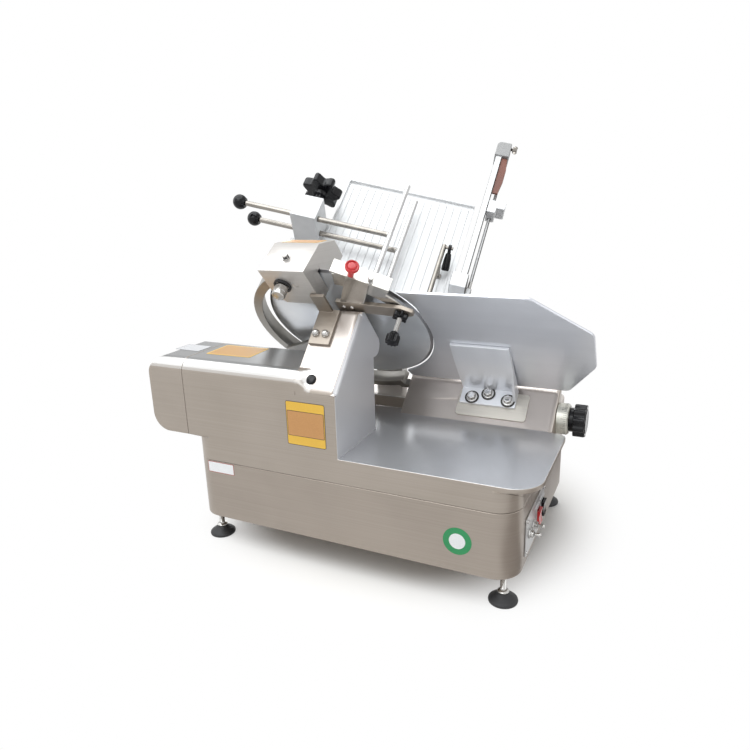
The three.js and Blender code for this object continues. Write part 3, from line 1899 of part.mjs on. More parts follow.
// Stop rod on two legs, with a cross pin at its top end for the tapered grip
function stopRod() {
  const legs = [stopLegLow, stopLegHigh].map((run) =>
    rodZ(stopRodRadius, trayRibHeight + fit, stopLift, stopX, run, smallSides),
  );
  return join(
    rodY(stopRodRadius, stopLow, stopHigh, stopX, stopLift, smallSides),
    rodX(stopPinRadius, stopX, stopX + stopPinReach, stopHigh - stopRodRadius, stopLift, smallSides),
    ...legs,
  );
}

function stopHandle() {
  const left = stopX + stopRodRadius + stopEyeGap;
  const grip = turned(
    [
      [0, 0],
      [stopGripTop, 0],
      [stopGripTop, stopEyeRadius + stopGripStart],
      [stopGripBottom, stopEyeRadius + stopGripLength],
      [0, stopEyeRadius + stopGripLength],
    ],
    smallSides,
  );
  grip.translate(stopEyeWidth / 2, 0, 0).rotateX(Math.PI / 2 + radians(stopGripDegrees));
  const eye = rodX(stopEyeRadius, 0, stopEyeWidth, 0, 0, smallSides);
  const bore = rodX(stopPinRadius + fit, -stopEyeWidth, stopEyeWidth * 2, 0, 0, smallSides);
  return cut(join(eye, grip), bore).translate(left, stopHigh - stopRodRadius, stopLift);
}

piece(tray, "stop_rod", polished, stopRod());
piece(tray, "stop_handle", blackPlastic, stopHandle());

// Control panel: a plate over the window in the right end, with bezels and toggle bushes
const panelLeft = baseLength + fit;
const panelRight = panelLeft + panelThick;
const rockerPlaces = [blackRockerY, redRockerY];
const togglePlaces = [frontToggleY, backToggleY];

function rockerHole(y) {
  return block(
    panelLeft - overrun,
    panelRight + overrun,
    y - rockerHalfWidth - fit,
    y + rockerHalfWidth + fit,
    switchZ - rockerHalfHeight - rockerPlay,
    switchZ + rockerHalfHeight + rockerPlay,
  );
}

function controlPanel() {
  const plate = plateX(
    roundedBox(panelFront, panelBack, panelBottom, panelTop, panelCorner),
    panelLeft,
    panelRight,
  );
  const bezels = rockerPlaces.map((y) =>
    block(
      panelLeft,
      panelRight + bezelHeight,
      y - rockerHalfWidth - bezelWidth,
      y + rockerHalfWidth + bezelWidth,
      switchZ - rockerHalfHeight - rockerPlay - bezelWidth,
      switchZ + rockerHalfHeight + rockerPlay + bezelWidth,
    ),
  );
  const bushes = togglePlaces.map((y) => rodX(bushRadius, panelLeft, panelRight + bushLength, y, switchZ, smallSides));
  const bores = togglePlaces.map((y) =>
    join(
      rodX(bushBore, panelRight, panelRight + bushLength + overrun, y, switchZ, smallSides),
      rodX(leverBall + fit, panelLeft - overrun, panelRight + fit, y, switchZ, smallSides),
    ),
  );
  return cut(join(plate, ...bezels, ...bushes), ...rockerPlaces.map(rockerHole), ...bores);
}

// A rocker swings on a pin behind the panel, and its face dips in the middle
function rocker(y) {
  const front = panelRight + bezelHeight + rockerProud;
  const back = panelRight - rockerDepth;
  const side = outline([
    [back, switchZ - rockerHalfHeight / 2, 0],
    [panelLeft, switchZ - rockerHalfHeight, 0],
    [front, switchZ - rockerHalfHeight, 0],
    [front - rockerDip, switchZ, 0],
    [front, switchZ + rockerHalfHeight, 0],
    [panelLeft, switchZ + rockerHalfHeight, 0],
    [back, switchZ + rockerHalfHeight / 2, 0],
  ]);
  return plateY(side, y - rockerHalfWidth, y + rockerHalfWidth);
}

function toggleLever(y) {
  const lever = turned(
    [
      [0, 0],
      [leverRadius, 0],
      [leverRadius, leverBall],
      [leverTip, leverLength - leverTip],
      [leverTip / 2, leverLength],
      [0, leverLength],
    ],
    smallSides,
  );
  const ball = new THREE.SphereGeometry(leverBall, smallSides / 2, smallSides / 4);
  return join(lever.rotateY(Math.PI / 2), ball).translate(panelRight, y, switchZ);
}

piece(machine, "control_panel", brushedSteel, controlPanel());
piece(machine, "rocker_black", blackPlastic, rocker(blackRockerY));
piece(machine, "rocker_red", redPlastic, rocker(redRockerY));
togglePlaces.forEach((y, i) => {
  piece(machine, `toggle_lever_${i + 1}`, polished, toggleLever(y));
});

// The origin is the middle of the whole slicer's footprint, at the height of the counter
const bounds = new THREE.Box3().setFromObject(machine, true);
machine.position.set(
  -(bounds.min.x + bounds.max.x) / 2,
  -(bounds.min.y + bounds.max.y) / 2,
  -bounds.min.z,
);

export default model;
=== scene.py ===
from math import atan2, cos, pi, radians, sin, sqrt

import bmesh
import bpy
from mathutils import Matrix, Vector


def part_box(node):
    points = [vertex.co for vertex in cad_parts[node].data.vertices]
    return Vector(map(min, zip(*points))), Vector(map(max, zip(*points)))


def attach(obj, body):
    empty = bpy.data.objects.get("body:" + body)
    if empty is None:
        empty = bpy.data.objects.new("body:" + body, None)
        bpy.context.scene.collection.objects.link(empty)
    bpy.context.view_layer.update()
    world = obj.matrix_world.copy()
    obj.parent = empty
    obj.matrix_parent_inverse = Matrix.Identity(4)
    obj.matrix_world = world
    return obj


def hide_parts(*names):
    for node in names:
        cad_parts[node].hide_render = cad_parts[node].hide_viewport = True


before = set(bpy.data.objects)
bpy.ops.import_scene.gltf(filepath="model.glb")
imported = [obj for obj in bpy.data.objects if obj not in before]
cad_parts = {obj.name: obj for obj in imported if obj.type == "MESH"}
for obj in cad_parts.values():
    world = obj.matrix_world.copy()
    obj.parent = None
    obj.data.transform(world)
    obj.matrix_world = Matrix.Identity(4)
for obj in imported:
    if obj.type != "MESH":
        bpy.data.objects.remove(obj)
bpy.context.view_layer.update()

# Camera and studio. The slicer is laid out in millimetres from the front left corner of its base,
# at counter height. The sheet shell stands on its feet, so its lowest corner is shell_foot higher.
MM = 0.001
shell_foot = 51
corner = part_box("base_shell")[0] - Vector((0, 0, shell_foot * MM))
machine = Matrix.Translation(corner) @ Matrix.Scale(MM, 4)
scene = bpy.context.scene
scene.view_settings.view_transform = "Standard"

photo_width = 750
photo_focus = 640.33
film_width = 36
eye = Vector((738.1, -797.3, 605.9))
eye_azimuth = radians(25.587)
eye_height = radians(16.526)
eye_roll = radians(-1.626)
camera = bpy.data.objects.new("camera", bpy.data.cameras.new("camera"))
camera.data.sensor_width = film_width
camera.data.lens = film_width * photo_focus / photo_width
camera.data.clip_start = 0.05
camera.matrix_world = (
    Matrix.Translation(machine @ eye)
    @ Matrix.Rotation(eye_azimuth, 4, "Z")
    @ Matrix.Rotation(pi / 2 - eye_height, 4, "X")
    @ Matrix.Rotation(eye_roll, 4, "Z")
)
scene.collection.objects.link(camera)
scene.camera = camera

room_level = 0.35
lamp_tint = (0.95, 0.98, 1.0)
lamp_aim = Vector((0, 0, 0.25))
soft_boxes = {
    "overhead_box": ((-0.35, -0.35, 2.1), 2.4, 46),
    "front_box": ((-0.3, -1.7, 1.75), 1.8, 13),
    "left_box": ((-2.1, -0.6, 1.2), 1.3, 5),
    "right_box": ((2.2, -0.3, 1.0), 1.2, 4),
    "rear_box": ((-1.0, 2.1, 0.9), 1.4, 12),
}
white = (1, 1, 1, 1)
floor_tint = (0.95, 0.93, 0.90, 1)
floor_radius = 2.5
floor_fade = (0.26, 0.43)
flag_lift = 0.002


def add_node(tree, kind, *inputs, **settings):
    """A new shader node. An input is a socket to link, a value to set, or None to leave as it is."""
    node = tree.nodes.new(f"ShaderNode{kind}")
    for name, value in settings.items():
        setattr(node, name, value)
    for socket, value in zip(node.inputs, inputs):
        if isinstance(value, bpy.types.NodeSocket):
            tree.links.new(value, socket)
        elif value is not None:
            socket.default_value = value
    return node


def white_room():
    """A world that is plain white to the eye and in reflections, and softer as a light."""
    world = bpy.data.worlds.new("white_room")
    world.use_nodes = True
    tree = world.node_tree
    path = add_node(tree, "LightPath").outputs
    seen = add_node(tree, "Math", path["Is Camera Ray"], path["Is Glossy Ray"], operation="MAXIMUM")
    seen = add_node(tree, "Math", seen.outputs[0], path["Is Transmission Ray"], operation="MAXIMUM")
    light = add_node(tree, "Background", white, room_level)
    bright = add_node(tree, "Background", white)
    choice = add_node(tree, "MixShader", seen.outputs[0], light.outputs[0], bright.outputs[0])
    tree.links.new(choice.outputs[0], tree.nodes["World Output"].inputs["Surface"])
    scene.world = world


def soft_box(name, place, size, power):
    """A square lamp with a cool daylight tint, aimed at the middle of the slicer."""
    lamp = bpy.data.lights.new(name, "AREA")
    lamp.color = lamp_tint
    lamp.shape = "SQUARE"
    lamp.size = size
    lamp.energy = power
    holder = bpy.data.objects.new(name, lamp)
    turn = (lamp_aim - Vector(place)).to_track_quat("-Z", "Y")
    holder.matrix_world = Matrix.Translation(place) @ turn.to_matrix().to_4x4()
    scene.collection.objects.link(holder)


def studio_sheet(name, shape):
    """A flat thing in the studio that isn't part of the slicer, and its material's nodes."""
    mesh = bpy.data.meshes.new(name)
    shape.to_mesh(mesh)
    shape.free()
    sheet = bpy.data.objects.new(name, mesh)
    scene.collection.objects.link(sheet)
    material = bpy.data.materials.new(name)
    material.use_nodes = True
    mesh.materials.append(material)
    return sheet, material.node_tree


def pale_floor():
    """A round white floor that keeps the shadow and fades into the white room at its rim."""
    disc = bmesh.new()
    bmesh.ops.create_circle(disc, cap_ends=True, radius=floor_radius, segments=64)
    tree = studio_sheet("floor", disc)[1]
    matt = add_node(tree, "BsdfDiffuse", floor_tint)
    bright = add_node(tree, "Emission")
    place = add_node(tree, "TexCoord").outputs["Object"]
    reach = add_node(tree, "VectorMath", place, operation="LENGTH")
    rim = add_node(tree, "MapRange", reach.outputs["Value"], *floor_fade, interpolation_type="SMOOTHSTEP")
    path = add_node(tree, "LightPath").outputs
    seen = add_node(tree, "Math", path["Is Camera Ray"], path["Is Glossy Ray"], operation="MAXIMUM")
    share = add_node(tree, "Math", seen.outputs[0], rim.outputs["Result"], operation="MULTIPLY")
    mix = add_node(tree, "MixShader", share.outputs[0], matt.outputs[0], bright.outputs[0])
    tree.links.new(mix.outputs[0], tree.nodes["Material Output"].inputs["Surface"])


def dark_flag(name, low, high, tint):
    """A dark cloth beside the slicer, seen only in the sides and round corners that mirror it."""
    cloth = bmesh.new()
    bmesh.ops.create_grid(cloth, x_segments=1, y_segments=1, size=0.5)
    bmesh.ops.scale(cloth, vec=(high[0] - low[0], high[1] - low[1], 1), verts=cloth.verts)
    middle = ((low[0] + high[0]) / 2, (low[1] + high[1]) / 2, flag_lift)
    bmesh.ops.translate(cloth, vec=middle, verts=cloth.verts)
    flag, tree = studio_sheet(name, cloth)
    flag.visible_camera = False
    flag.visible_diffuse = False
    flag.visible_shadow = False
    shader = tree.nodes["Principled BSDF"].inputs
    shader["Base Color"].default_value = (*tint, 1)
    shader["Roughness"].default_value = 1


white_room()
pale_floor()
dark_flag("near_flag", (0.34, -0.42), (1.2, -0.14), (0.36, 0.32, 0.30))
dark_flag("far_flag", (0.34, 0.02), (0.9, 0.42), (0.16, 0.13, 0.12))
for name, (place, size, power) in soft_boxes.items():
    soft_box(name, place, size, power)

# Base shell and its bottom plate. The shell is sheet steel folded into a box with wide corners and
# brushed along its length, open at the right for the control panel. Small screws hold the bottom.


def engrave(tree, height, depth):
    """Lets a height show as relief in the material's surface."""
    bump = add_node(tree, "Bump")
    bump.inputs["Distance"].default_value = depth
    tree.links.new(height, bump.inputs["Height"])
    tree.links.new(bump.outputs["Normal"], tree.nodes["Principled BSDF"].inputs["Normal"])


def finish(name, tint, shade, rough, grain, relief=0.0, turn=(0, 0, 0), cloud=9, **fixed):
    """A finish that drifts from tint to shade, in fine grain and in broad clouds.

    rough is its smoothest and roughest value, grain the marks per metre along X, Y and Z, and turn
    lays the grain along a leaning piece. What is the same all over is set on the shader itself."""
    drift = (0.35, 0.65)
    detail = 2
    material = bpy.data.materials.new(name)
    material.use_nodes = True
    tree = material.node_tree
    shader = tree.nodes["Principled BSDF"].inputs
    for socket, value in fixed.items():
        shader[socket.replace("_", " ")].default_value = value
    place = add_node(tree, "TexCoord").outputs["Object"]
    level = add_node(tree, "Mapping", place, None, turn, vector_type="TEXTURE").outputs[0]
    stretch = add_node(tree, "Mapping", level, None, None, grain).outputs[0]
    marks = add_node(tree, "TexNoise", stretch, None, 1, detail).outputs["Fac"]
    clouds = add_node(tree, "TexNoise", level, None, cloud, detail).outputs["Fac"]
    halved = add_node(tree, "Math", clouds, 0.5, operation="MULTIPLY").outputs[0]
    mixed = add_node(tree, "Math", marks, 0.5, halved, operation="MULTIPLY_ADD").outputs[0]
    spread = add_node(tree, "ValToRGB", mixed)
    for stop, position, colour in zip(spread.color_ramp.elements, drift, (shade, tint)):
        stop.position = position
        stop.color = (*colour, 1)
    tree.links.new(spread.outputs["Color"], shader["Base Color"])
    smooth = add_node(tree, "MapRange", mixed, *drift, *rough)
    tree.links.new(smooth.outputs["Result"], shader["Roughness"])
    if relief:
        engrave(tree, marks, relief)
    return material


def take(node):
    """A working copy of a CAD node in the slicer's millimetres, its loose triangles joined."""
    shape = bmesh.new()
    shape.from_mesh(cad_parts[node].data)
    shape.transform(machine.inverted())
    bmesh.ops.remove_doubles(shape, verts=shape.verts, dist=0.01)
    bmesh.ops.dissolve_limit(shape, angle_limit=radians(0.6), verts=shape.verts, edges=shape.edges)
    return shape


def round_off(shape, parts, width, steps, kind="EDGES"):
    """Rounds edges, or corners where kind is VERTICES."""
    bmesh.ops.bevel(
        shape, geom=parts, offset=width, segments=steps, profile=0.5, affect=kind, material=-1
    )


def ease(shape, width, steps=2, least=40):
    """Rounds each edge that turns by more than least degrees."""
    sharp = [
        edge
        for edge in shape.edges
        if len(edge.link_faces) == 2 and edge.calc_face_angle() > radians(least)
    ]
    round_off(shape, sharp, width, steps)
    return shape


def add_piece(shape, name, body, slot, material, *nodes, place=machine, crease=42):
    """Makes the finished object of a shape, which rides on a body and stands for CAD nodes."""
    shape.transform(place)
    for face in shape.faces:
        face.smooth = True
    mesh = bpy.data.meshes.new(name)
    shape.to_mesh(mesh)
    shape.free()
    mesh.set_sharp_from_angle(angle=radians(crease))
    mesh.materials.append(material)
    piece = bpy.data.objects.new(name, mesh)
    scene.collection.objects.link(piece)
    even = piece.modifiers.new("even_faces", "WEIGHTED_NORMAL")
    even.keep_sharp = True
    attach(piece, body)
    if nodes:
        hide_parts(*nodes)
    return piece


def eased(node, width, name, body, slot, material):
    """A copy of a CAD node with its edges rounded, which stands for the node."""
    return add_piece(ease(take(node), width), name, body, slot, material, node)


def dress(material, *nodes):
    """Gives CAD nodes that stay as they are their finish."""
    for node in nodes:
        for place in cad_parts[node].material_slots:
            place.material = material


def gather(*shapes):
    """One shape of several, which touch or cross as welded and pressed pieces do."""
    whole = shapes[0]
    for shape in shapes[1:]:
        loose = bpy.data.meshes.new("loose")
        shape.to_mesh(loose)
        shape.free()
        whole.from_mesh(loose)
        bpy.data.meshes.remove(loose)
    return whole


def turned(profile, steps=64):
    """A profile of [radius, height] points spun round Z. A profile that ends where it starts is a ring."""
    shape = bmesh.new()
    points = [shape.verts.new((radius, 0, height)) for radius, height in profile]
    edges = [shape.edges.new(pair) for pair in zip(points, points[1:])]
    bmesh.ops.spin(
        shape, geom=points + edges, axis=(0, 0, 1), angle=2 * pi, steps=steps, use_merge=True
    )
    bmesh.ops.remove_doubles(shape, verts=shape.verts, dist=0.001)
    bmesh.ops.recalc_face_normals(shape, faces=shape.faces)
    return shape


def placed(shape, *matrices):
    for matrix in matrices:
        shape.transform(matrix)
    return shape


def moved(x=0, y=0, z=0):
    return Matrix.Translation((x, y, z))


along_x = Matrix.Rotation(pi / 2, 4, "Y")
along_y = Matrix.Rotation(-pi / 2, 4, "X")


def screw_head(radius, height):
    """A domed screw head with its edge rounded, standing on the XY plane."""
    dome = [(1, 0), (1, 0.35), (0.9, 0.7), (0.6, 0.94)]
    return turned([(0, 0), *((radius * reach, height * rise) for reach, rise in dome), (0, height)], 24)


brushed_steel = finish(
    "brushed_steel", (0.385, 0.335, 0.290), (0.335, 0.290, 0.250), (0.28, 0.36), (3, 3, 700), 0.00003,
    Metallic=0.65,
)
bright_steel = finish(
    "bright_steel", (0.62, 0.61, 0.59), (0.44, 0.43, 0.42), (0.10, 0.22), (60, 60, 60), Metallic=1.0
)


def fastener(shape, name, place=machine, *nodes):
    """A bright screw, nut, stud or pin fixed to the frame."""
    add_piece(shape, name, "frame", "chrome", bright_steel, *nodes, place=place)


eased("base_shell", 1.2, "shell_sheet", "frame", "brushed_steel", brushed_steel)
dress(brushed_steel, "bottom_plate")

edge_screw_size = (4, 4)
edge_screw_inset = 8
edge_screw_places = (112, 277, 437)
upside_down = Matrix.Rotation(pi, 4, "X")
for number, x in enumerate(edge_screw_places, 1):
    head = placed(screw_head(*edge_screw_size), upside_down, moved(x, edge_screw_inset, shell_foot))
    fastener(head, f"edge_screw_{number}")

# Levelling feet: black rubber pads moulded over a steel disc, on chromed studs with a cut thread,
# a lock nut under the shell and a collar on the pad.


def thread(radius, low, high, pitch, depth):
    """Profile points of a cut thread, from low to high."""
    points = []
    turns = int((high - low) / pitch)
    for i in range(turns):
        z = low + i * pitch
        points += [(radius, z), (radius - depth, z + pitch / 2)]
    return points + [(radius, low + turns * pitch)]


def hex_nut(across, low, high, width):
    """A six-sided nut with its edges eased, on Z."""
    nut = bmesh.new()
    middle = moved(z=(low + high) / 2)
    bmesh.ops.create_cone(
        nut, cap_ends=True, segments=6, radius1=across, radius2=across, depth=high - low, matrix=middle
    )
    return ease(nut, width)


rubber = finish(
    "rubber", (0.030, 0.030, 0.032), (0.016, 0.016, 0.018), (0.45, 0.65), (900, 900, 900), 0.00005
)
pad_radius, pad_height = 22.5, 16
socket_radius, socket_depth = 5.3, 6
pad_profile = [
    (0, 0), (pad_radius - 2, 0), (pad_radius - 0.4, 1.2), (pad_radius, 3), (pad_radius - 0.5, 5),
    (pad_radius - 3, 7.2), (pad_radius - 8, 10.4), (pad_radius - 12, 14),
    (pad_radius - 13.5, pad_height), (socket_radius, pad_height),
    (socket_radius, pad_height - socket_depth), (0, pad_height - socket_depth),
]
stud_radius = 5
stud_low, stud_top = 10.3, 68
thread_low, thread_pitch, thread_depth = 22, 1.6, 0.7
nut_across, nut_low, nut_top = 9, 42.7, 50.7
collar_profile = [(4, 16.3), (8.6, 16.3), (9, 17), (9, 18.6), (7, 20.6), (5, 21), (4, 21), (4, 16.3)]
stud_profile = [(0, stud_low), (stud_radius - 1, stud_low), (stud_radius, stud_low + 1)]
stud_profile += thread(stud_radius, thread_low, stud_top - 3, thread_pitch, thread_depth)
stud_profile += [(stud_radius - 1, stud_top), (0, stud_top)]
foot_places = ((24, 28), (546, 28), (24, 366), (546, 366))
for number, (x, y) in enumerate(foot_places, 1):
    pad = placed(turned(pad_profile), moved(x, y))
    add_piece(pad, f"foot_rubber_{number}", "frame", "rubber", rubber, f"foot_pad_{number}")
    nut = hex_nut(nut_across, nut_low, nut_top, 0.9)
    stud = gather(turned(stud_profile, 32), turned(collar_profile, 32), nut)
    fastener(placed(stud, moved(x, y)), f"foot_stud_chromed_{number}", machine, f"foot_stud_{number}")

# Upper body: one aluminium casting of table, deck, motor housing and neck, ground smooth all over.
# The table is polished finer than the rest, since the slices fall on it. Faces also get lighter,
# darker or cooler copies of the casting's finish by which way they face: painted light on the table's
# and ramp's tops and the neck's right side, painted shade on the housing's flat top, and a painted
# highlight on the round front edge.
table_height = 200
slope_foot = 230
neck_left, neck_right, neck_round = 212, 288, 10
body_ease = 1.4
ground_cast = finish(
    "ground_cast", (0.41, 0.36, 0.315), (0.365, 0.32, 0.275), (0.28, 0.36), (2.5, 2.5, 600), 0.00001,
    Metallic=0.62,
)


def cast_tone(name, tint, shade, rough, metallic, cloud=6):
    """A smooth copy of the casting's finish with no marks left, in a tone that paints light or shade on the
    faces it goes on; on the table it is also the finer polish.
    """
    return finish(name, tint, shade, rough, (3, 3, 3), Metallic=metallic, cloud=cloud)


# Painted light and shade: lighter, cooler tones for the table, ramp and neck side, a darker one for the
# housing's top, and bright ones for the round edge's painted highlight.
table_polish_and_sheen = cast_tone("table_polish_and_sheen", (0.56, 0.565, 0.58), (0.49, 0.495, 0.51), (0.19, 0.25), 0.6, 5)
ramp_top_light = cast_tone("ramp_top_light", (0.56, 0.51, 0.475), (0.50, 0.455, 0.42), (0.20, 0.26), 0.62)
housing_top_shade = cast_tone("housing_top_shade", (0.27, 0.27, 0.27), (0.22, 0.22, 0.22), (0.28, 0.34), 0.62)
round_edge_highlight = cast_tone("round_edge_highlight", (0.80, 0.785, 0.77), (0.74, 0.725, 0.71), (0.18, 0.24), 0.5)
edge_highlight = cast_tone("edge_highlight", (0.56, 0.53, 0.50), (0.52, 0.49, 0.46), (0.18, 0.24), 0.5)
neck_side_light = cast_tone("neck_side_light", (0.76, 0.76, 0.78), (0.68, 0.68, 0.70), (0.28, 0.34), 0.5)


def recolour_faces(piece, material, chosen, place=machine):
    """Gives faces another material, for real finishes and for painted light and shade. chosen picks them by
    their normal and their middle in place's frame.
    """
    piece.data.materials.append(material)
    number = len(piece.data.materials) - 1
    back = place.inverted()
    for face in piece.data.polygons:
        if chosen((back.to_3x3() @ face.normal).normalized(), back @ face.center):
            face.material_index = number


def paint_round_highlight(piece, right):
    """Painted highlight: the round front edge is painted brighter the more it faces up."""
    for low, high, material in ((0.28, 0.5, edge_highlight), (0.5, 0.93, round_edge_highlight)):

        def on_round(normal, middle):
            return low < normal.z < high and normal.y < -0.3 and middle.x < right

        recolour_faces(piece, material, on_round)


def paint_housing_light(piece):
    """The housing's flat top is painted darker as shade, and its rounded front edge gets a painted highlight.
    """
    recolour_faces(piece, housing_top_shade, lambda normal, middle: normal.z > 0.93 and middle.x < neck_left)
    paint_round_highlight(piece, neck_left)


def round_neck(shape, width):
    """Rounds the right edge of the neck's sloping front more than the other edges."""
    slanted = []
    for edge in shape.edges:
        if len(edge.link_faces) == 2 and min(point.co.x for point in edge.verts) > neck_right - 0.5:
            normals = sorted((face.normal for face in edge.link_faces), key=lambda normal: normal.x)
            if normals[1].x > 0.99 and normals[0].z > 0.3 and normals[0].y < -0.3:
                slanted.append(edge)
    round_off(shape, slanted, width, 6)
    return shape


def on_neck_side(normal, middle):
    """Whether a face is on the neck's right side or its rounded edge."""
    return normal.x > 0.5 and neck_right - 26 < middle.x < neck_right + 2


cast_shape = ease(round_neck(take("upper_body"), neck_round), body_ease)
casting = add_piece(cast_shape, "cast_body", "frame", "cast_skin", ground_cast, "upper_body")
# Painted light and shade by facing: lighter tops on the ramp and deck right of the neck, a darker housing top
# with a painted highlight on its round edge, a lighter, cooler table top, and a lighter right side of the
# neck.
recolour_faces(casting, ramp_top_light, lambda normal, middle: normal.z > 0.5 and middle.x > neck_left)
paint_housing_light(casting)
recolour_faces(casting, table_polish_and_sheen, lambda normal, middle: normal.z > 0.9 and abs(middle.z - table_height) < 2)
recolour_faces(casting, neck_side_light, on_neck_side)

housing_edge, housing_top = 24, 334
neck_heel, heel_height, neck_shoulder = 22, 296.4, 305
lean = radians(43)
neck_end = 57
neck_top = 245
neck_head = Matrix.Rotation(lean, 3, "X") @ Vector((0, neck_end, neck_top))
neck_tilt = atan2(neck_head.z + table_height - neck_shoulder, neck_head.y + slope_foot)
housing_end = neck_left + 6


def housing_outline(run):
    """A point run millimetres up the housing's front and round edge, and its outward side."""
    rise = housing_top - housing_edge - heel_height
    angle = min(max((run - rise) / housing_edge, 0), pi / 2)
    outward = Vector((0, -cos(angle), sin(angle)))
    seat = Vector((0, housing_edge, housing_top - housing_edge)) + outward * housing_edge
    return seat + Vector((0, max(run - rise - housing_edge * pi / 2, 0), min(run - rise, 0))), outward


def neck_outline(seat):
    """The nearest point of the neck's round heel and sloping front, and its outward side."""
    centre = Vector((0, neck_heel, heel_height))
    outward = (seat - centre).normalized()
    if atan2(outward.z, -outward.y) < pi / 2 - neck_tilt:
        return centre + outward * neck_heel, outward
    outward = Vector((0, -sin(neck_tilt), cos(neck_tilt)))
    return seat - outward * ((seat - centre).dot(outward) - neck_heel), outward


def shoulder_blend():
    """The casting's smooth run from the housing's round front edge down onto the neck's slope."""
    lap, reach, length, skin = 3, 26, 54, 0.12
    sheet = bmesh.new()
    bmesh.ops.create_grid(sheet, x_segments=14, y_segments=30, size=0.5)
    for point in sheet.verts:
        across = (point.co.x + 0.5) * (reach + lap)
        seat, seat_side = housing_outline((point.co.y + 0.5) * length)
        foot, foot_side = neck_outline(seat)
        share = (1 - cos(pi * max(across - lap, 0) / reach)) / 2
        point.co = (seat + seat_side * skin).lerp(foot + foot_side * skin, share)
        point.co.x = housing_end - lap + across
    bmesh.ops.recalc_face_normals(sheet, faces=sheet.faces)
    return sheet


def thicken(shape, step):
    """Makes a flat shape a solid one by a step out of its plane."""
    copied = bmesh.ops.extrude_face_region(shape, geom=shape.faces[:], use_keep_orig=True)["geom"]
    points = [part for part in copied if isinstance(part, bmesh.types.BMVert)]
    bmesh.ops.translate(shape, vec=step, verts=points)
    bmesh.ops.recalc_face_normals(shape, faces=shape.faces)
    return shape


def block(low, high):
    """A solid between two corners."""
    middle, size = (Vector(low) + Vector(high)) / 2, Vector(high) - Vector(low)
    solid = bmesh.new()
    bmesh.ops.create_cube(solid, size=1, matrix=moved(*middle) @ Matrix.Diagonal((*size, 1)))
    return solid


deck_round = 40
seam_height = 158


def corner_wall():
    """The deck's round front left corner, where the housing stands over it."""
    skin, web_reach = 0.1, 15
    wall = bmesh.new()
    foot = moved(deck_round, deck_round, seam_height + 2 * skin)
    bmesh.ops.create_circle(wall, cap_ends=True, segments=160, radius=deck_round - skin, matrix=foot)
    thicken(wall, (0, 0, table_height + 2 - seam_height))
    bmesh.ops.bisect_plane(
        wall,
        geom=wall.verts[:] + wall.edges[:] + wall.faces[:],
        plane_co=(web_reach, web_reach, 0),
        plane_no=(1, 1, 0),
        clear_outer=True,
    )
    bmesh.ops.holes_fill(wall, edges=[edge for edge in wall.edges if edge.is_boundary])
    bmesh.ops.recalc_face_normals(wall, faces=wall.faces)
    return wall


web_near, web_far = 5.2, 20.8
corner_floor = block((web_near, web_near, table_height + 0.2), (web_far, web_far, table_height + 5.8))
add_piece(gather(corner_wall(), corner_floor), "corner_web", "frame", "cast_skin", ground_cast)
blend = add_piece(shoulder_blend(), "shoulder_blend", "frame", "cast_skin", ground_cast)
# Painted highlight on the blend's round edge, as on the housing's.
paint_round_highlight(blend, neck_right)

# End cover of the motor housing, a cast cup that closes its left end, and the plug that closes the
# oil hole in the neck's sloping face.
cup = eased("motor_end_cover", 0.9, "housing_end_cup", "frame", "cast_skin", ground_cast)
# Painted shade on the cup's flat top and a painted highlight on its round edge.
paint_housing_light(cup)
black_gloss = finish(
    "black_gloss", (0.010, 0.010, 0.012), (0.006, 0.006, 0.007), (0.10, 0.20), (260, 260, 260), 0.00002,
    Specular_IOR_Level=0.26,
)


def moulded(shape, name, body, node, place):
    """A grip, knob or plug of glossy black plastic, which stands for a CAD node."""
    add_piece(shape, name, body, "black_plastic", black_gloss, node, place=place)


slope = machine @ moved(0, slope_foot, table_height) @ Matrix.Rotation(lean, 4, "X")
plug_back = 14
plug_seat = machine @ moved(240, plug_back, neck_shoulder + plug_back * sin(neck_tilt) / cos(neck_tilt))
plug_seat = plug_seat @ Matrix.Rotation(neck_tilt, 4, "X")
plug = turned([(0, -6), (3, -6), (3, 0.3), (8.6, 0.3), (8.6, 1.4), (8, 2.7), (6, 3.6), (3, 4), (0, 4)], 48)
moulded(plug, "oil_plug", "frame", "neck_plug", plug_seat)

dark_cast = finish(
    "dark_cast", (0.12, 0.125, 0.13), (0.07, 0.07, 0.075), (0.5, 0.7), (320, 320, 320), 0.0003, Metallic=0.3
)
dress(dark_cast, "blade_motor")

# Blank plates on the housing, the neck and the shell: thin printed foil with rounded corners and a
# border line, glued on. They carry no words and no signs.


def foil(name, wide, high, corner_round, place, tint, border, rim=1.6):
    """A thin plate in the XY plane of its place, with a line of another colour round its edge."""
    thick, glue = 0.25, 0.05
    sheet = bmesh.new()
    bmesh.ops.create_grid(sheet, x_segments=1, y_segments=1, size=0.5)
    bmesh.ops.scale(sheet, vec=(wide, high, 1), verts=sheet.verts)
    round_off(sheet, sheet.verts[:], corner_round, 6, "VERTICES")
    bmesh.ops.inset_region(
        sheet, faces=sheet.faces[:], thickness=rim, use_even_offset=True, use_boundary=True
    )
    inner = max(sheet.faces, key=lambda face: face.calc_area())
    inner.material_index = 1
    thicken(sheet, (0, 0, thick))
    piece = add_piece(sheet, name, "frame", "cast_skin", border, place=place @ moved(z=glue))
    piece.data.materials.append(tint)
    return piece


def print_ink(name, tint, shade):
    return finish(name, tint, shade, (0.32, 0.45), (700, 700, 700), 0.00002)


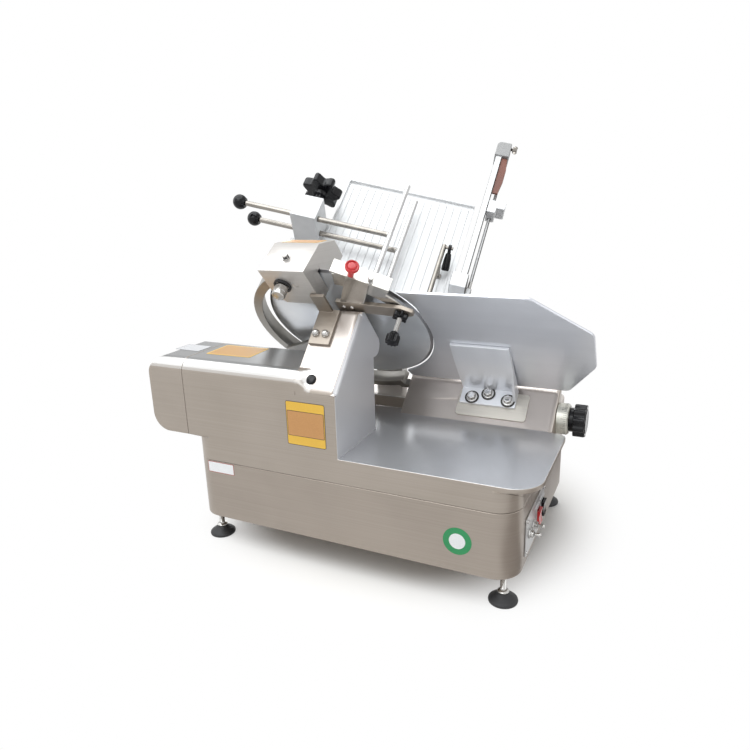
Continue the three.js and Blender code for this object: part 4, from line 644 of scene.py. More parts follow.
orange_ink = print_ink("orange_ink", (0.60, 0.31, 0.11), (0.52, 0.26, 0.09))
amber_ink = print_ink("amber_ink", (0.50, 0.27, 0.07), (0.42, 0.21, 0.05))
yellow_ink = print_ink("yellow_ink", (0.80, 0.50, 0.06), (0.74, 0.44, 0.05))
white_ink = print_ink("white_ink", (0.84, 0.85, 0.86), (0.74, 0.75, 0.77))
pale_ink = print_ink("pale_ink", (0.56, 0.56, 0.57), (0.50, 0.50, 0.51))
grey_ink = print_ink("grey_ink", (0.30, 0.30, 0.31), (0.24, 0.24, 0.25))
black_ink = print_ink("black_ink", (0.05, 0.045, 0.04), (0.03, 0.03, 0.03))
red_ink = print_ink("red_ink", (0.42, 0.10, 0.09), (0.34, 0.08, 0.07))
green_ink = print_ink("green_ink", (0.02, 0.30, 0.10), (0.015, 0.24, 0.08))
upright = Matrix.Rotation(pi / 2, 4, "X")
left_plate = machine @ moved(-39, 74, housing_top) @ Matrix.Rotation(radians(-1), 4, "Z")
foil("housing_plate_small", 53, 38, 3, left_plate, pale_ink, grey_ink, 1.2)
right_plate = machine @ moved(54, 80, housing_top) @ Matrix.Rotation(radians(2), 4, "Z")
foil("housing_plate_large", 89, 63, 3, right_plate, amber_ink, yellow_ink, 2.4)
neck_plate = machine @ moved(234, 0, 250) @ upright
foil("neck_plate", 70, 73, 3, neck_plate, yellow_ink, black_ink, 0.8)
foil("neck_plate_field", 66, 42, 1, neck_plate @ moved(z=0.25), orange_ink, black_ink, 0.7)
foil("shell_plate", 54, 20, 1.5, machine @ moved(58, 0, 146.5) @ upright, white_ink, red_ink, 1)
mark_place = machine @ moved(482, -0.05, 102) @ upright
mark_sheets = (("round_mark", 22, 0, 72, green_ink), ("round_mark_eye", 12.5, 0.2, 64, white_ink))
for name, radius, low, steps, ink in mark_sheets:
    top = low + 0.25
    sheet = turned([(0, low), (radius, low), (radius, top - 0.05), (radius - 0.2, top), (0, top)], steps)
    add_piece(sheet, name, "frame", "cast_skin", ink, place=mark_place)

# Blade: a hardened steel disc, ground in circles, with a wide bevel on the front and a dished back.
# Its flanged shaft comes out of the gearbox in the neck, and a nut holds the blade on it.
blade_x, blade_plane, blade_rise = 224, 83, 157
blade_radius = 150


def ground_blade():
    """Blade steel with fine rings round the blade's own centre."""
    material = finish(
        "ground_blade", (0.84, 0.87, 0.91), (0.70, 0.73, 0.77), (0.18, 0.26), (20, 20, 20), Metallic=0.6
    )
    ring_count, ring_depth = 900, 0.00004
    tree = material.node_tree
    centre = slope @ Vector((blade_x, blade_plane, blade_rise))
    place = add_node(tree, "TexCoord").outputs["Object"]
    level = add_node(tree, "Mapping", place, centre, (lean, 0, 0), vector_type="TEXTURE")
    flat = add_node(tree, "VectorMath", level.outputs[0], (1, 0, 1), operation="MULTIPLY")
    reach = add_node(tree, "VectorMath", flat.outputs[0], operation="LENGTH").outputs["Value"]
    rings = add_node(tree, "TexNoise", None, reach, ring_count, noise_dimensions="1D")
    engrave(tree, rings.outputs["Fac"], ring_depth)
    return material


blade_steel = ground_blade()
blade_hub = slope @ moved(blade_x, blade_plane, blade_rise) @ along_y
hub_radius, bore_radius, bevel_reach = 46, 9.3, 144.8
blade_profile = [
    (bore_radius, -11.2), (hub_radius, -11.2), (blade_radius - 5, -2.6), (blade_radius - 0.3, -0.35),
    (blade_radius, -0.15), (blade_radius, 0), (126, 0), (125.4, -0.3), (124, -2), (hub_radius, -8),
    (bore_radius, -8), (bore_radius, -11.2),
]
blade = turned(blade_profile, 144)
blade_disc = add_piece(
    blade, "blade_disc", "blade_group", "blade_steel", blade_steel, "blade", place=blade_hub, crease=12
)
# A dark copy of the blade steel, painted on the rim bevel as the shade in the gap between the blade and the
# hoop.
bevel_shade = finish(
    "bevel_shade", (0.24, 0.24, 0.25), (0.17, 0.17, 0.18), (0.28, 0.36), (60, 60, 60), Metallic=0.8
)


def on_bevel(normal, middle):
    """Whether a face is on the ground bevel at the blade's rim."""
    return middle.xy.length > bevel_reach and middle.z < -0.1


# Painted shade on the blade's rim bevel.
recolour_faces(blade_disc, bevel_shade, on_bevel, blade_hub)
flange_radius, shaft_radius, shaft_end = 34, 9, -161.7
shaft_profile = [
    (0, shaft_end), (shaft_radius - 1, shaft_end), (shaft_radius, shaft_end + 1), (shaft_radius, -19.5),
    (flange_radius, -19.5), (flange_radius, -12), (flange_radius - 0.5, -11.5), (shaft_radius, -11.5),
    (shaft_radius, -2), (shaft_radius - 0.8, -1.7), (0, -1.7),
]
arbor = gather(turned(shaft_profile), hex_nut(18, -7.7, -1.9, 1.2))
add_piece(arbor, "blade_arbor", "blade_group", "chrome", bright_steel, "blade_shaft", place=blade_hub)

# Ring guard, a polished cast hoop round the covered rim of the blade, and the blade guard above it:
# bent sheet with a lip over the rim and a bright plate on top, where the slices can't catch.
polished_cast = finish(
    "polished_cast", (0.60, 0.58, 0.54), (0.44, 0.42, 0.39), (0.16, 0.26), (30, 30, 30),
    Metallic=0.85, cloud=18,
)
hoop_cast = finish(
    "hoop_cast", (0.36, 0.345, 0.32), (0.26, 0.25, 0.235), (0.28, 0.36), (30, 30, 30), Metallic=0.75, cloud=18
)
eased("ring_guard", 0.7, "ring_hoop", "frame", "chrome", hoop_cast)
eased("blade_guard", 0.35, "rim_cover", "frame", "chrome", polished_cast)

# Guard arm, a flat steel bar on the neck's end face. A knurled screw goes through its tip into the
# guard, locked by a small star nut, and a red pull knob frees the guard's top plate.
arm_steel = finish(
    "arm_steel", (0.36, 0.315, 0.27), (0.31, 0.27, 0.23), (0.28, 0.36), (4, 700, 700), Metallic=0.7
)
eased("guard_arm", 0.7, "arm_bar", "frame", "arm_steel", arm_steel)
for number, (x, rise) in enumerate(((254.6, 246), (268.7, 244.8)), 1):
    arm_screw = slope @ moved(x, neck_end + 0.3, rise) @ upright
    fastener(screw_head(3.8, 2.2), f"arm_screw_{number}", arm_screw)


def lobed(radius, lobes, depth, low, high, edge, steps=8):
    """A grip with even lobes round its rim, its top and bottom edges rounded."""
    shape = bmesh.new()
    rim = bmesh.ops.create_circle(shape, cap_ends=True, radius=1, segments=lobes * steps)["verts"]
    for point in rim:
        angle = atan2(point.co.y, point.co.x)
        reach = radius - depth * (1 - cos(lobes * angle)) / 2
        point.co = Vector((reach * cos(angle), reach * sin(angle), low))
    return ease(thicken(shape, (0, 0, high - low)), edge, 3, 60)


screw_angle = radians(31.7)
screw_x = blade_x + blade_radius * cos(screw_angle)
screw_rise = blade_rise + blade_radius * sin(screw_angle)
screw_axis = slope @ moved(screw_x, 0, screw_rise) @ along_y
screw_thread = turned([(0, 19), (4, 19)] + thread(4, 20, 64, 1.3, 0.5) + [(3.4, 65), (0, 65)], 28)
screw_cap = turned([(0, 15), (9.2, 15), (8.6, 17.5), (6.4, 21), (4, 22), (0, 22)], 40)
grip = gather(lobed(11, 10, 2.4, 2, 16, 1.2), screw_cap)
add_piece(screw_thread, "guard_bolt", "screw", "chrome", bright_steel, place=screw_axis)
moulded(grip, "guard_bolt_grip", "screw", "guard_screw", screw_axis)
moulded(lobed(13, 6, 5, 48, 57, 1.4), "lock_star", "star_nut", "guard_star_nut", screw_axis)

red_gloss = finish(
    "red_gloss", (0.62, 0.020, 0.024), (0.48, 0.013, 0.016), (0.16, 0.26), (240, 240, 240), 0.00003,
    Coat_Weight=0.4, Coat_Roughness=0.15,
)
guard_turn = radians(27.6)
guard_reach = blade_radius + 25
guard_top = slope @ moved(blade_x, 0, blade_rise) @ Matrix.Rotation(guard_turn, 4, "Y") @ moved(z=guard_reach)
pull_profile = [
    (0, -11.7), (2.5, -11.7), (2.5, 2.3), (5, 2.3), (5, 12), (5.6, 16), (7.4, 18.6), (10, 20),
    (11, 21.4), (11, 24.4), (10.4, 25.8), (9.4, 26.3), (8.6, 25.9), (8.1, 24.4), (7.3, 24.2),
    (6.6, 25.5), (5.2, 26.1), (0, 26.2),
]
pull = turned(pull_profile, 48)
pull_place = guard_top @ moved(-15, 63.5)
add_piece(pull, "pull_knob_cap", "pull_knob", "red_plastic", red_gloss, "red_knob", place=pull_place)
pin_profile = [(0, 1.9), (5, 1.9), (5, 3), (3.6, 3.4), (3.6, 10.4), (4.4, 10.8), (4.4, 13), (3.4, 14)]
pin_place = guard_top @ moved(16, 63)
fastener(turned([*pin_profile, (0, 14)], 32), "guard_pin", pin_place)

# Sharpener head, a cast hood over the blade's upper left rim. Its push button presses the front
# stone on the blade against the back stone. A folded bracket with two dome nuts holds it.
hood_cast = finish(
    "hood_cast", (0.58, 0.555, 0.53), (0.52, 0.495, 0.47), (0.28, 0.36), (2.5, 2.5, 500), 0.00001,
    Metallic=0.6,
)
hood = eased("sharpener_head", 0.9, "head_hood", "frame", "cast_skin", hood_cast)
hood_left, hood_right, hood_front, hood_back = 143, 226, 48, 150
hood_bottom, hood_high, hood_fall, hood_top_back = 262, 343, 9, 112


def shaded_inside_hood(normal, middle):
    """Whether a face is on the hood's inner side, which is painted near black as shade inside the hood."""
    across = hood_left + 1 < middle.x < hood_right - 1
    return normal.z < 0.1 and across and hood_front + 1 < middle.y < hood_back - 1


# Painted shade: the hood's inner faces get the near-black dark cast.
recolour_faces(hood, dark_cast, shaded_inside_hood, slope)
button_x, stone_x, button_rise = 173, 196, 308
pilot_plug = turned([(0, -4.6), (4.9, -4.6), (4.9, -0.2), (4.6, 0), (0, 0)], 32)
pilot_place = slope @ moved(stone_x, hood_front, button_rise) @ upright
add_piece(pilot_plug, "pilot_plug", "frame", "cast_skin", hood_cast, place=pilot_place)

bolt_run = 78
top_depth = hood_top_back - hood_front
head_top = slope @ moved(182, bolt_run, hood_high - hood_fall * (bolt_run - hood_front) / top_depth)
head_top = head_top @ Matrix.Rotation(-atan2(hood_fall, top_depth), 4, "X")
bolt_flange = turned([(0, 0), (7, 0), (7, 1.2), (6.6, 1.6), (0, 1.6)], 36)
fastener(gather(bolt_flange, hex_nut(5.6, 1.2, 7.4, 0.8)), "head_bolt", head_top)
slant_fall, slant_run = 34, 38
head_foil = slope @ moved(184, 131, 317.2) @ Matrix.Rotation(-atan2(slant_fall, slant_run), 4, "X")
foil("head_plate", 66, 34, 2, head_foil, orange_ink, yellow_ink, 1.4)

slot_front, slot_back, slot_top = 62, 97, 316
slit_front, slit_back, slit_top = 77, 84.5, 309
# Painted shade: thin dark blocks along the slot's left wall, roof and back stand for the shade inside the
# slot.
slot_shade = gather(
    block((148.5, slot_front + 1, 292.5), (151.5, slot_back - 1, slot_top - 0.5)),
    block((150, slot_front + 1, slot_top - 2.8), (214, slot_back - 1, slot_top - 0.4)),
    block((207.5, slot_back - 1.5, 287.5), (220.5, slot_back + 0.5, slot_top - 1.5)),
)
add_piece(ease(slot_shade, 0.6), "head_slot_shade", "frame", "dark_cast", dark_cast, place=slope)
cheek_left, cheek_right, cheek_top = hood_right - 2.6, hood_right - 0.2, slot_top + 0.5
cheeks = gather(
    block((cheek_left, slot_front, hood_bottom + 0.5), (cheek_right, slit_front, cheek_top)),
    block((cheek_left, slit_front - 1, slit_top), (cheek_right, slit_back + 1, cheek_top)),
    block((cheek_left, slit_back, hood_bottom + 6), (cheek_right, slot_back + 0.5, cheek_top)),
)
add_piece(ease(cheeks, 0.15), "head_slot_cheeks", "frame", "cast_skin", hood_cast, place=slope)

button_radius, button_step, pin_radius = 11, 8, 4
button_profile = [
    (0, 26.2), (7.5, 26.2), (button_step, 25.7), (10, 25.7), (button_radius, 26.7), (button_radius, 32),
    (10.4, 32.6), (10.4, 33.4), (button_radius, 34), (button_radius, 42.7), (10, 43.7),
    (button_step, 43.7), (button_step, 53.3), (pin_radius, 53.3), (pin_radius, 65.8),
    (button_step, 65.8), (button_step, 66.7), (pin_radius, 66.7), (pin_radius, 74), (0, 74),
]
button = turned(button_profile, 48)
button_axis = slope @ moved(button_x, 0, button_rise) @ along_y
add_piece(
    button, "head_push_button", "head_button", "chrome", bright_steel, "sharpener_button", place=button_axis
)
button_seal = turned([(11.6, 44.4), (14.2, 44.4), (14.8, 45), (14.8, 48), (11.6, 48), (11.6, 44.4)], 48)
add_piece(button_seal, "button_seal", "frame", "rubber", rubber, place=button_axis)
stone_grit = finish(
    "stone_grit", (0.36, 0.37, 0.39), (0.16, 0.165, 0.18), (0.8, 0.95), (1500, 1500, 1500), 0.0003
)
stone_radius = 17
front_stone = [(4.3, 67.1), (16.4, 67.1), (stone_radius, 67.7), (stone_radius, 74.4), (16.4, 75), (4.3, 75)]
front_wheel = turned([*front_stone, front_stone[0]])
add_piece(
    front_wheel, "front_grit_wheel", "front_wheel", "stone_grit", stone_grit, "front_stone", place=button_axis
)
back_stone = [(0, 84.5), (16.4, 84.5), (stone_radius, 85.1), (stone_radius, 91.9), (16.4, 92.5)]
back_wheel = turned([*back_stone, (4, 92.5), (4, 117), (3.5, 117.5), (0, 117.5)])
stone_axis = slope @ moved(stone_x, 0, button_rise) @ along_y
add_piece(
    back_wheel, "back_grit_wheel", "back_wheel", "stone_grit", stone_grit, "back_stone", place=stone_axis
)
eased("sharpener_bracket", 0.7, "head_bracket", "frame", "arm_steel", arm_steel)


def dome_nut():
    """An acorn nut: a hexagon with a polished dome."""
    dome = [(0, 3.4), (5.9, 3.4), (5.9, 4.6), (5.5, 6), (4.6, 7.4), (3.2, 8.5), (1.6, 9.1), (0, 9.3)]
    return gather(hex_nut(7, 0, 4, 0.7), turned(dome, 32))


shoulder = Matrix.Rotation(-lean, 3, "X") @ Vector((0, -slope_foot, neck_shoulder - table_height))
nut_run = 2
bracket_thick = 5
bracket_seat = shoulder.z + (neck_top - shoulder.z) * (nut_run - shoulder.y) / (neck_end - shoulder.y)
for number, x in enumerate((224.25, 241.64), 1):
    nut_seat = slope @ moved(x, nut_run, bracket_seat + bracket_thick * 0.9)
    fastener(dome_nut(), f"bracket_dome_nut_{number}", nut_seat)

# Gauge plate: satin rolled aluminium with a bevelled band along its top. It is carried by a folded
# bracket with three washered bolts, over a thin foot plate that slides on the ramp.
satin_plate = finish(
    "satin_plate", (0.70, 0.715, 0.755), (0.66, 0.675, 0.715), (0.28, 0.31), (2, 60, 60), 0,
    (lean, 0, 0), Metallic=0.6,
)
bracket_satin = finish(
    "bracket_satin", (0.86, 0.875, 0.91), (0.80, 0.815, 0.85), (0.28, 0.30), (40, 40, 2), 0,
    (lean, 0, 0), Metallic=0.5,
)
foot_steel = finish(
    "foot_steel", (0.66, 0.625, 0.56), (0.56, 0.53, 0.48), (0.28, 0.4), (3, 200, 200), 0.00002, Metallic=0.5
)
gauge_back, gauge_thick = 83, 5
gauge_low, gauge_waist, gauge_shoulder, gauge_high = 7, 92, 180, 262
gauge_right, gauge_foot_right, gauge_top_right, gauge_foot_left = 636, 588, 550, 300
gap_radius = blade_radius + 1.6
guard_gap = blade_radius + 8
gap_turn = radians(16)
gap_ease = radians(10)
gap_low = radians(-62.5)
gap_high = atan2(gauge_high - blade_rise, sqrt(guard_gap**2 - (gauge_high - blade_rise) ** 2))
gap_steps = 36
corner_ease, front_ease = 7, 1.8


def gauge_shape():
    """The plate's outline with a hollow for the blade, thickened, its front edge bevelled bright."""
    shape = bmesh.new()
    corners = [
        (gauge_foot_right, gauge_low),
        (gauge_right, gauge_waist),
        (gauge_right, gauge_shoulder),
        (gauge_top_right, gauge_high),
    ]
    angles = [gap_high + (gap_low - gap_high) * i / gap_steps for i in range(gap_steps + 1)]
    hollow = []
    for angle in angles:
        reach = gap_radius + (guard_gap - gap_radius) * min(max((angle - gap_turn) / gap_ease, 0), 1)
        hollow.append((blade_x + reach * cos(angle), blade_rise + reach * sin(angle)))
    points = [shape.verts.new((x, gauge_back, rise)) for x, rise in corners + hollow]
    points.append(shape.verts.new((gauge_foot_left, gauge_back, gauge_low)))
    shape.faces.new(points)
    round_off(shape, points[: len(corners)], corner_ease, 5, "VERTICES")
    return ease(thicken(shape, (0, -gauge_thick, 0)), front_ease)


add_piece(
    gauge_shape(), "gauge_sheet", "gauge", "satin_steel", satin_plate, "gauge_plate", place=slope, crease=25
)
eased("gauge_bracket", 0.5, "gauge_web", "gauge", "satin_steel", bracket_satin)
eased("gauge_foot_plate", 0.3, "gauge_shim", "gauge", "brushed_steel", foot_steel)
dress(dark_cast, "gauge_carrier")
dark_oxide = finish(
    "dark_oxide", (0.055, 0.05, 0.045), (0.03, 0.028, 0.026), (0.35, 0.5), (500, 500, 500), 0.00002,
    Metallic=0.6,
)
pad_left, pad_front, pad_top = 403, 34, 7.6
pad_width, pad_depth = 100, 36
bolt_places = ((0.21, 0.33), (0.49, 0.61), (0.86, 0.33))
for number, (across, along) in enumerate(bolt_places, 1):
    seat = slope @ moved(pad_left + pad_width * across, pad_front + pad_depth * along, pad_top)
    washer = turned([(0, 0), (12.6, 0), (12.6, 1.2), (12, 1.6), (0, 1.6)], 48)
    flange = turned([(0, 1.6), (9.4, 1.6), (9.4, 2.6), (8.8, 3.1), (0, 3.1)], 48)
    head = gather(flange, hex_nut(8, 3.1, 9, 1.1))
    add_piece(washer, f"gauge_washer_{number}", "gauge", "dark_cast", dark_oxide, place=seat)
    add_piece(head, f"gauge_bolt_{number}", "gauge", "chrome", bright_steel, place=seat)

# Thickness control at the ramp's right end: a turned aluminium dial with engraved lines, a black
# moulded knob, and the cam shaft that moves the gauge.
dial_metal = finish(
    "dial_metal", (0.72, 0.71, 0.64), (0.58, 0.57, 0.51), (0.28, 0.4), (400, 60, 60), 0.00004, Metallic=0.55
)
dial_left, dial_run, dial_rise = 572.3, 282, 208.5
dial_axis = machine @ moved(dial_left, dial_run, dial_rise) @ along_x
dial_radius, shaft_bore = 27, 6.3
dial_profile = [
    (shaft_bore, 0), (dial_radius - 0.6, 0), (dial_radius, 0.6), (dial_radius, 17),
    (dial_radius - 0.5, 17.6), (24.4, 19.6), (23.6, 20), (shaft_bore, 20), (shaft_bore, 0),
]
dial = turned(dial_profile, 96)
add_piece(dial, "dial_ring", "thickness", "pale_dial", dial_metal, "thickness_dial", place=dial_axis)
marks = bmesh.new()
mark_count, mark_top = 50, 16.6
for i in range(mark_count):
    length = 9 if i % 5 == 0 else 5
    line = Matrix.Rotation(2 * pi * i / mark_count, 4, "Z") @ moved(dial_radius, 0, mark_top - length / 2)
    bmesh.ops.create_cube(marks, size=1, matrix=line @ Matrix.Diagonal((0.3, 0.5, length, 1)))
add_piece(ease(marks, 0.06, 1), "dial_lines", "thickness", "pale_dial", black_ink, place=dial_axis)
knob_left = 592.6
knob_axis = machine @ moved(knob_left, dial_run, dial_rise) @ along_x
knob_rim = lobed(29, 10, 4, 7, 27, 2.0)
skirt_profile = [(shaft_bore, 0), (20, 0), (21, 1), (21, 6), (22.5, 9), (24, 12), (20, 14), (shaft_bore, 14)]
knob_skirt = turned([*skirt_profile, (shaft_bore, 0)])
knob_face = turned([(0, 26), (19, 26), (20.5, 26.6), (21.2, 27.6), (20.4, 28), (17.5, 27.6), (0, 27)])
knob = gather(knob_rim, knob_skirt, knob_face)
moulded(knob, "thickness_grip", "thickness", "thickness_knob", knob_axis)
dress(bright_steel, "thickness_shaft")

# Carriage: a cast block on two ground bars inside the base, driven by a belt, with a post that comes
# up through the deck to the tray.
carriage_cast = finish(
    "carriage_cast", (0.52, 0.51, 0.49), (0.40, 0.39, 0.375), (0.34, 0.46), (200, 200, 8), 0.00006,
    Metallic=0.9,
)
eased("carriage_block", 0.9, "carriage_casting", "carriage", "dark_cast", carriage_cast)
dress(bright_steel, "carriage_bar_front", "carriage_bar_back")
dress(rubber, "drive_belt")
dress(dark_cast, "drive_pulley", "idler_pulley", "carriage_gearmotor")

# Tray: a ribbed aluminium floor, light anodised, with a low rim. Along its right side stands the
# rail with its rounded clamp, guide rod, brown bearing strip, wing screw and slider.
tray_tilt = radians(17.5)
tray_frame = slope @ moved(357.8, 92, 92) @ Matrix.Rotation(tray_tilt, 4, "Y")
white_alloy = finish(
    "white_alloy", (0.80, 0.805, 0.81), (0.72, 0.725, 0.73), (0.36, 0.46), (300, 12, 300), 0.00002,
    (lean, tray_tilt, 0), Metallic=0.12, Specular_IOR_Level=0.3,
)
brown_board = finish(
    "brown_board", (0.21, 0.078, 0.052), (0.13, 0.046, 0.032), (0.42, 0.58), (300, 14, 300), 0.00015,
    (lean, tray_tilt, 0),
)
eased("tray", 0.35, "tray_floor", "carriage", "white_alloy", white_alloy)
# Grey for the rail's clamp, which is its own colour, and as painted shade on the rail's left faces.
grey_cast_and_shade = finish(
    "grey_cast_and_shade", (0.31, 0.31, 0.305), (0.27, 0.27, 0.27), (0.4, 0.5), (200, 200, 200), 0.00002, Metallic=0.3
)
rail = eased("tray_rail", 1.1, "rail_bar", "carriage", "white_alloy", white_alloy)
rail_shade = finish(
    "rail_shade", (0.11, 0.105, 0.10), (0.08, 0.075, 0.07), (0.34, 0.42), (200, 12, 200), 0.00002,
    Metallic=0.3,
)
clamp_low = 430
# Painted shade: the rail's left faces are painted grey and its right faces near black; the faces above
# clamp_low are the clamp's own grey.
recolour_faces(rail, grey_cast_and_shade, lambda normal, middle: normal.x < -0.3, tray_frame)
recolour_faces(rail, rail_shade, lambda normal, middle: normal.x > 0.3, tray_frame)
recolour_faces(rail, grey_cast_and_shade, lambda normal, middle: middle.y > clamp_low, tray_frame)
eased("rail_strip", 0.4, "rail_bearing_strip", "carriage", "brown_board", brown_board)
slide_block = eased("rail_slider", 0.8, "rail_slide_block", "slider", "white_alloy", white_alloy)
# A darker copy of the white alloy, painted on the slider's and fence block's front faces as shade.
front_face_shade = finish(
    "front_face_shade", (0.52, 0.525, 0.535), (0.46, 0.465, 0.475), (0.36, 0.46), (60, 60, 60), 0.00002,
    Metallic=0.12,
)
# Painted shade on the slider's front faces.
recolour_faces(slide_block, front_face_shade, lambda normal, middle: normal.y < -0.7, tray_frame)
rod_steel = finish(
    "rod_steel", (0.34, 0.315, 0.285), (0.24, 0.225, 0.205), (0.16, 0.26), (50, 50, 50), Metallic=0.95
)
rod_place, rod_lift = 35, 29
rod_thread = placed(turned(thread(3.35, 104, 133, 1.4, 0.45), 28), along_y, moved(rod_place, 0, rod_lift))
add_piece(rod_thread, "guide_rod_thread", "carriage", "white_alloy", bright_steel, place=tray_frame)

wing_hub = turned([(0, 3), (5.2, 3), (5.2, 4), (4.2, 11), (3, 12), (0, 12)], 32)
shank = turned([(0, -6), (2.6, -6)] + thread(3, -5.4, 3, 1.2, 0.4) + [(0, 3)], 24)
wing_size, wing_reach, wing_lift, wing_turn = (1.5, 4.6, 4.2), 6.6, 8.4, radians(24)
wings = []
for side in (-1, 1):
    wing = bmesh.new()
    bmesh.ops.create_uvsphere(wing, u_segments=20, v_segments=12, radius=1)
    bmesh.ops.scale(wing, vec=wing_size, verts=wing.verts)
    turn = Matrix.Rotation(-side * wing_turn, 4, "X")
    wings.append(placed(wing, turn, moved(0, side * wing_reach, wing_lift)))
wing_screw = gather(wing_hub, shank, *wings)
wing_place = tray_frame @ moved(40, 461, 44) @ along_x
add_piece(wing_screw, "wing_bolt", "wing", "chrome", rod_steel, "rail_wing_screw", place=wing_place)

# Meat fence: an aluminium block on the tray's ear clamps two chromed rods with a star knob. Each rod
# has a black ball at its end and is welded to a bar along the tray.
rod_run, rod_radius = 170, 5
bar_low = 70
fence_clamp = eased("fence_block", 1.0, "fence_clamp", "carriage", "white_alloy", white_alloy)
# Painted shade on the fence block's front faces.
recolour_faces(fence_clamp, front_face_shade, lambda normal, middle: normal.y < -0.7, tray_frame)


def rod(radius, length, end=1):
    """A drawn rod on Z with rounded ends."""
    low = [(0, 0), (radius - end, 0), (radius, end)]
    high = [(radius, length - end), (radius - end, length), (0, length)]
    return turned(low + high, 32)


bar_steel = finish(
    "bar_steel", (0.66, 0.655, 0.65), (0.54, 0.535, 0.53), (0.18, 0.26), (50, 50, 50), Metallic=0.7
)
fence_weld = [(5, -7.6), (5.7, -6.6), (6.1, -4.6), (6.1, -3), (5, -3)]
ball_radius, ball_mouth, ball_bore = 14, 11, 3.3
arc = [(ball_radius * sin(angle), -ball_radius * cos(angle)) for angle in map(radians, range(0, 142, 6))]
mouth_reach = sqrt(ball_radius**2 - ball_mouth**2)
ball_profile = [*arc, (mouth_reach, ball_mouth), (ball_bore, ball_mouth), (ball_bore, 1.6), (0, 1.6)]
for level, left, bar, bar_top, lift in (("upper", -412, -128, 294, 62), ("lower", -391, -112, 297, 22)):
    cross = placed(rod(rod_radius, bar - left), along_x, moved(left, rod_run, lift))
    stub = placed(rod(3, 9.5, 0.6), along_x, moved(left - 9, rod_run, lift))
    upright_bar = placed(rod(rod_radius, bar_top - bar_low), along_y, moved(bar, bar_low, lift))
    weld = placed(turned(fence_weld, 32), along_x, moved(bar, rod_run, lift))
    bars = gather(cross, stub, upright_bar, weld)
    name, body_name, node = f"fence_bar_{level}", f"{level}_fence", f"fence_rod_{level}"
    fence_bar = add_piece(bars, name, body_name, "chrome", rod_steel, node, place=tray_frame)
    recolour_faces(fence_bar, bar_steel, lambda normal, middle: middle.x > bar - rod_radius - 0.5, tray_frame)
    ball = placed(turned(ball_profile, 56), along_x, moved(left - ball_mouth, rod_run, lift))
    moulded(ball, f"fence_ball_{level}", body_name, f"ball_knob_{level}", tray_frame)

star_seat = tray_frame @ moved(-289, 208, 45) @ along_y
star_head = lobed(39, 7, 11, 35, 55, 3.2, 12)
star_cap = turned([(0, 54), (15, 54), (15, 58.6), (14, 60), (12.5, 60), (12, 59.2), (0, 58.8)], 56)
stem_profile = [(0, -14), (5, -14), (5, 0.3), (10.4, 0.3), (11, 1), (11, 28), (13, 33), (15, 36), (0, 36)]
star_knob = gather(star_head, star_cap, turned(stem_profile, 48))
moulded(star_knob, "fence_star", "fence_knob", "fence_star_knob", star_seat)

# Stop rod on the tray's right, a bent rod on two legs, with a black tapered grip that swings on a
# pin at its upper end.
stop_x, stop_lift, stop_radius = -30, 36, 4.5
stop_low, stop_high = 24, 196
main_rod = placed(rod(stop_radius, stop_high - stop_low), along_y, moved(stop_x, stop_low, stop_lift))
pin = placed(rod(3, 18, 0.5), along_x, moved(stop_x, stop_high - stop_radius, stop_lift))
leg_runs, leg_foot = (34, 150), 1.9
legs = [placed(rod(stop_radius, stop_lift - leg_foot, 0.4), moved(stop_x, run, leg_foot)) for run in leg_runs]
leg_weld = [(0, leg_foot), (7.4, leg_foot), (6.4, 2.9), (4.9, 4.6), (0, 5)]
leg_welds = [placed(turned(leg_weld, 32), moved(stop_x, run)) for run in leg_runs]
stop = gather(main_rod, pin, *legs, *leg_welds)
add_piece(stop, "stop_rod_bent", "carriage", "chrome", rod_steel, "stop_rod", place=tray_frame)
ring_left = stop_x + stop_radius + 4
grip_ring = turned([(3.3, 0), (6, 0), (6.5, 0.5), (6.5, 5.5), (6, 6), (3.3, 6), (3.3, 0)], 40)
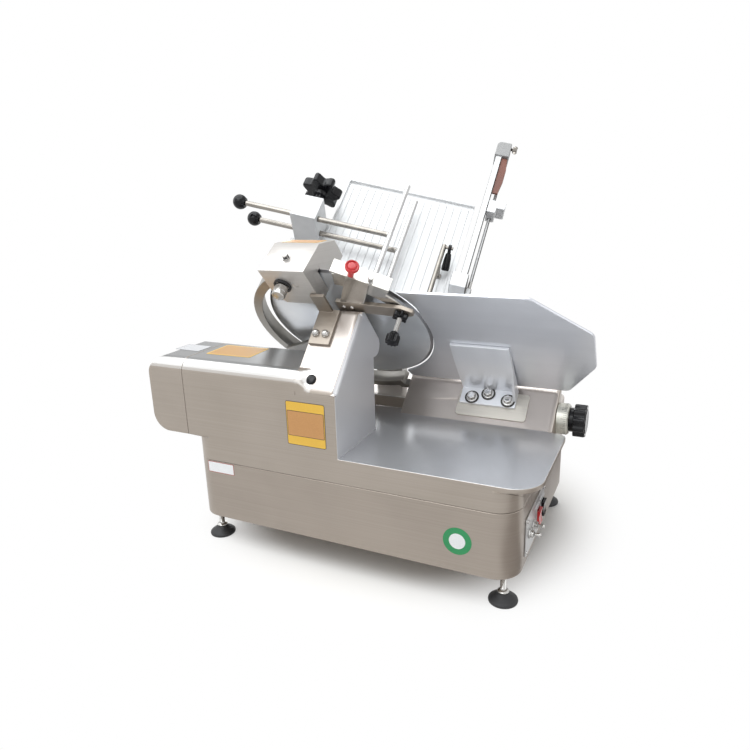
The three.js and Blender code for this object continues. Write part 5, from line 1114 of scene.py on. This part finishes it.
cone_profile = [
    (0, 5.6), (3.4, 5.6), (3.4, 9), (5.2, 10.4), (6.4, 18), (7.6, 34), (7.6, 39), (6.6, 41.4),
    (4.6, 42), (0, 42),
]
cone_turn = Matrix.Rotation(pi / 2 + radians(38), 4, "X")
grip_cone = placed(turned(cone_profile, 40), moved(3), cone_turn)
stop_grip = gather(placed(grip_ring, along_x), grip_cone)
grip_place = tray_frame @ moved(ring_left, stop_high - stop_radius, stop_lift)
moulded(stop_grip, "stop_grip", "grip", "stop_handle", grip_place)

# Control panel on the right end: a steel plate with two bezelled rockers and two toggle switches in
# round bushes, held by four small screws.
panel_steel = finish(
    "panel_steel", (0.66, 0.66, 0.66), (0.52, 0.52, 0.53), (0.28, 0.36), (300, 3, 300), 0.00003, Metallic=0.92
)
panel_face = 572.3
switch_height = 98
eased("control_panel", 0.35, "panel_plate", "frame", "brushed_steel", panel_steel)
for number, (y, z) in enumerate(((56, 72), (178, 72), (56, 124), (178, 124)), 1):
    head = placed(screw_head(3, 1.8), along_x, moved(panel_face, y, z))
    fastener(head, f"panel_screw_{number}")
eased("rocker_black", 0.7, "rocker_cap_black", "black_rocker", "black_plastic", black_gloss)
eased("rocker_red", 0.7, "rocker_cap_red", "red_rocker", "red_plastic", red_gloss)
lever_profile = [
    (0, -3), (1.6, -2.5), (2.7, -1.3), (3, 0), (2.7, 1.3), (2, 2.4), (2, 4), (3, 15), (2.9, 16.6),
    (2.1, 17.7), (0, 18),
]
bush_profile = [(4.6, 0), (5.9, 0), (6.1, 0.4), (6.1, 7), (5.6, 7.4), (4.6, 7.4)]
for number, (y, body_name) in enumerate(((70, "toggle_front"), (97, "toggle_back")), 1):
    lever = placed(turned(lever_profile, 32), along_x, moved(panel_face, y, switch_height))
    add_piece(lever, f"toggle_stick_{number}", body_name, "chrome", bright_steel, f"toggle_lever_{number}")
    ring_nut = gather(hex_nut(8.2, 0, 2.4, 0.5), turned(bush_profile, 32))
    ring_nut = placed(ring_nut, along_x, moved(panel_face, y, switch_height))
    fastener(ring_nut, f"toggle_ring_nut_{number}")
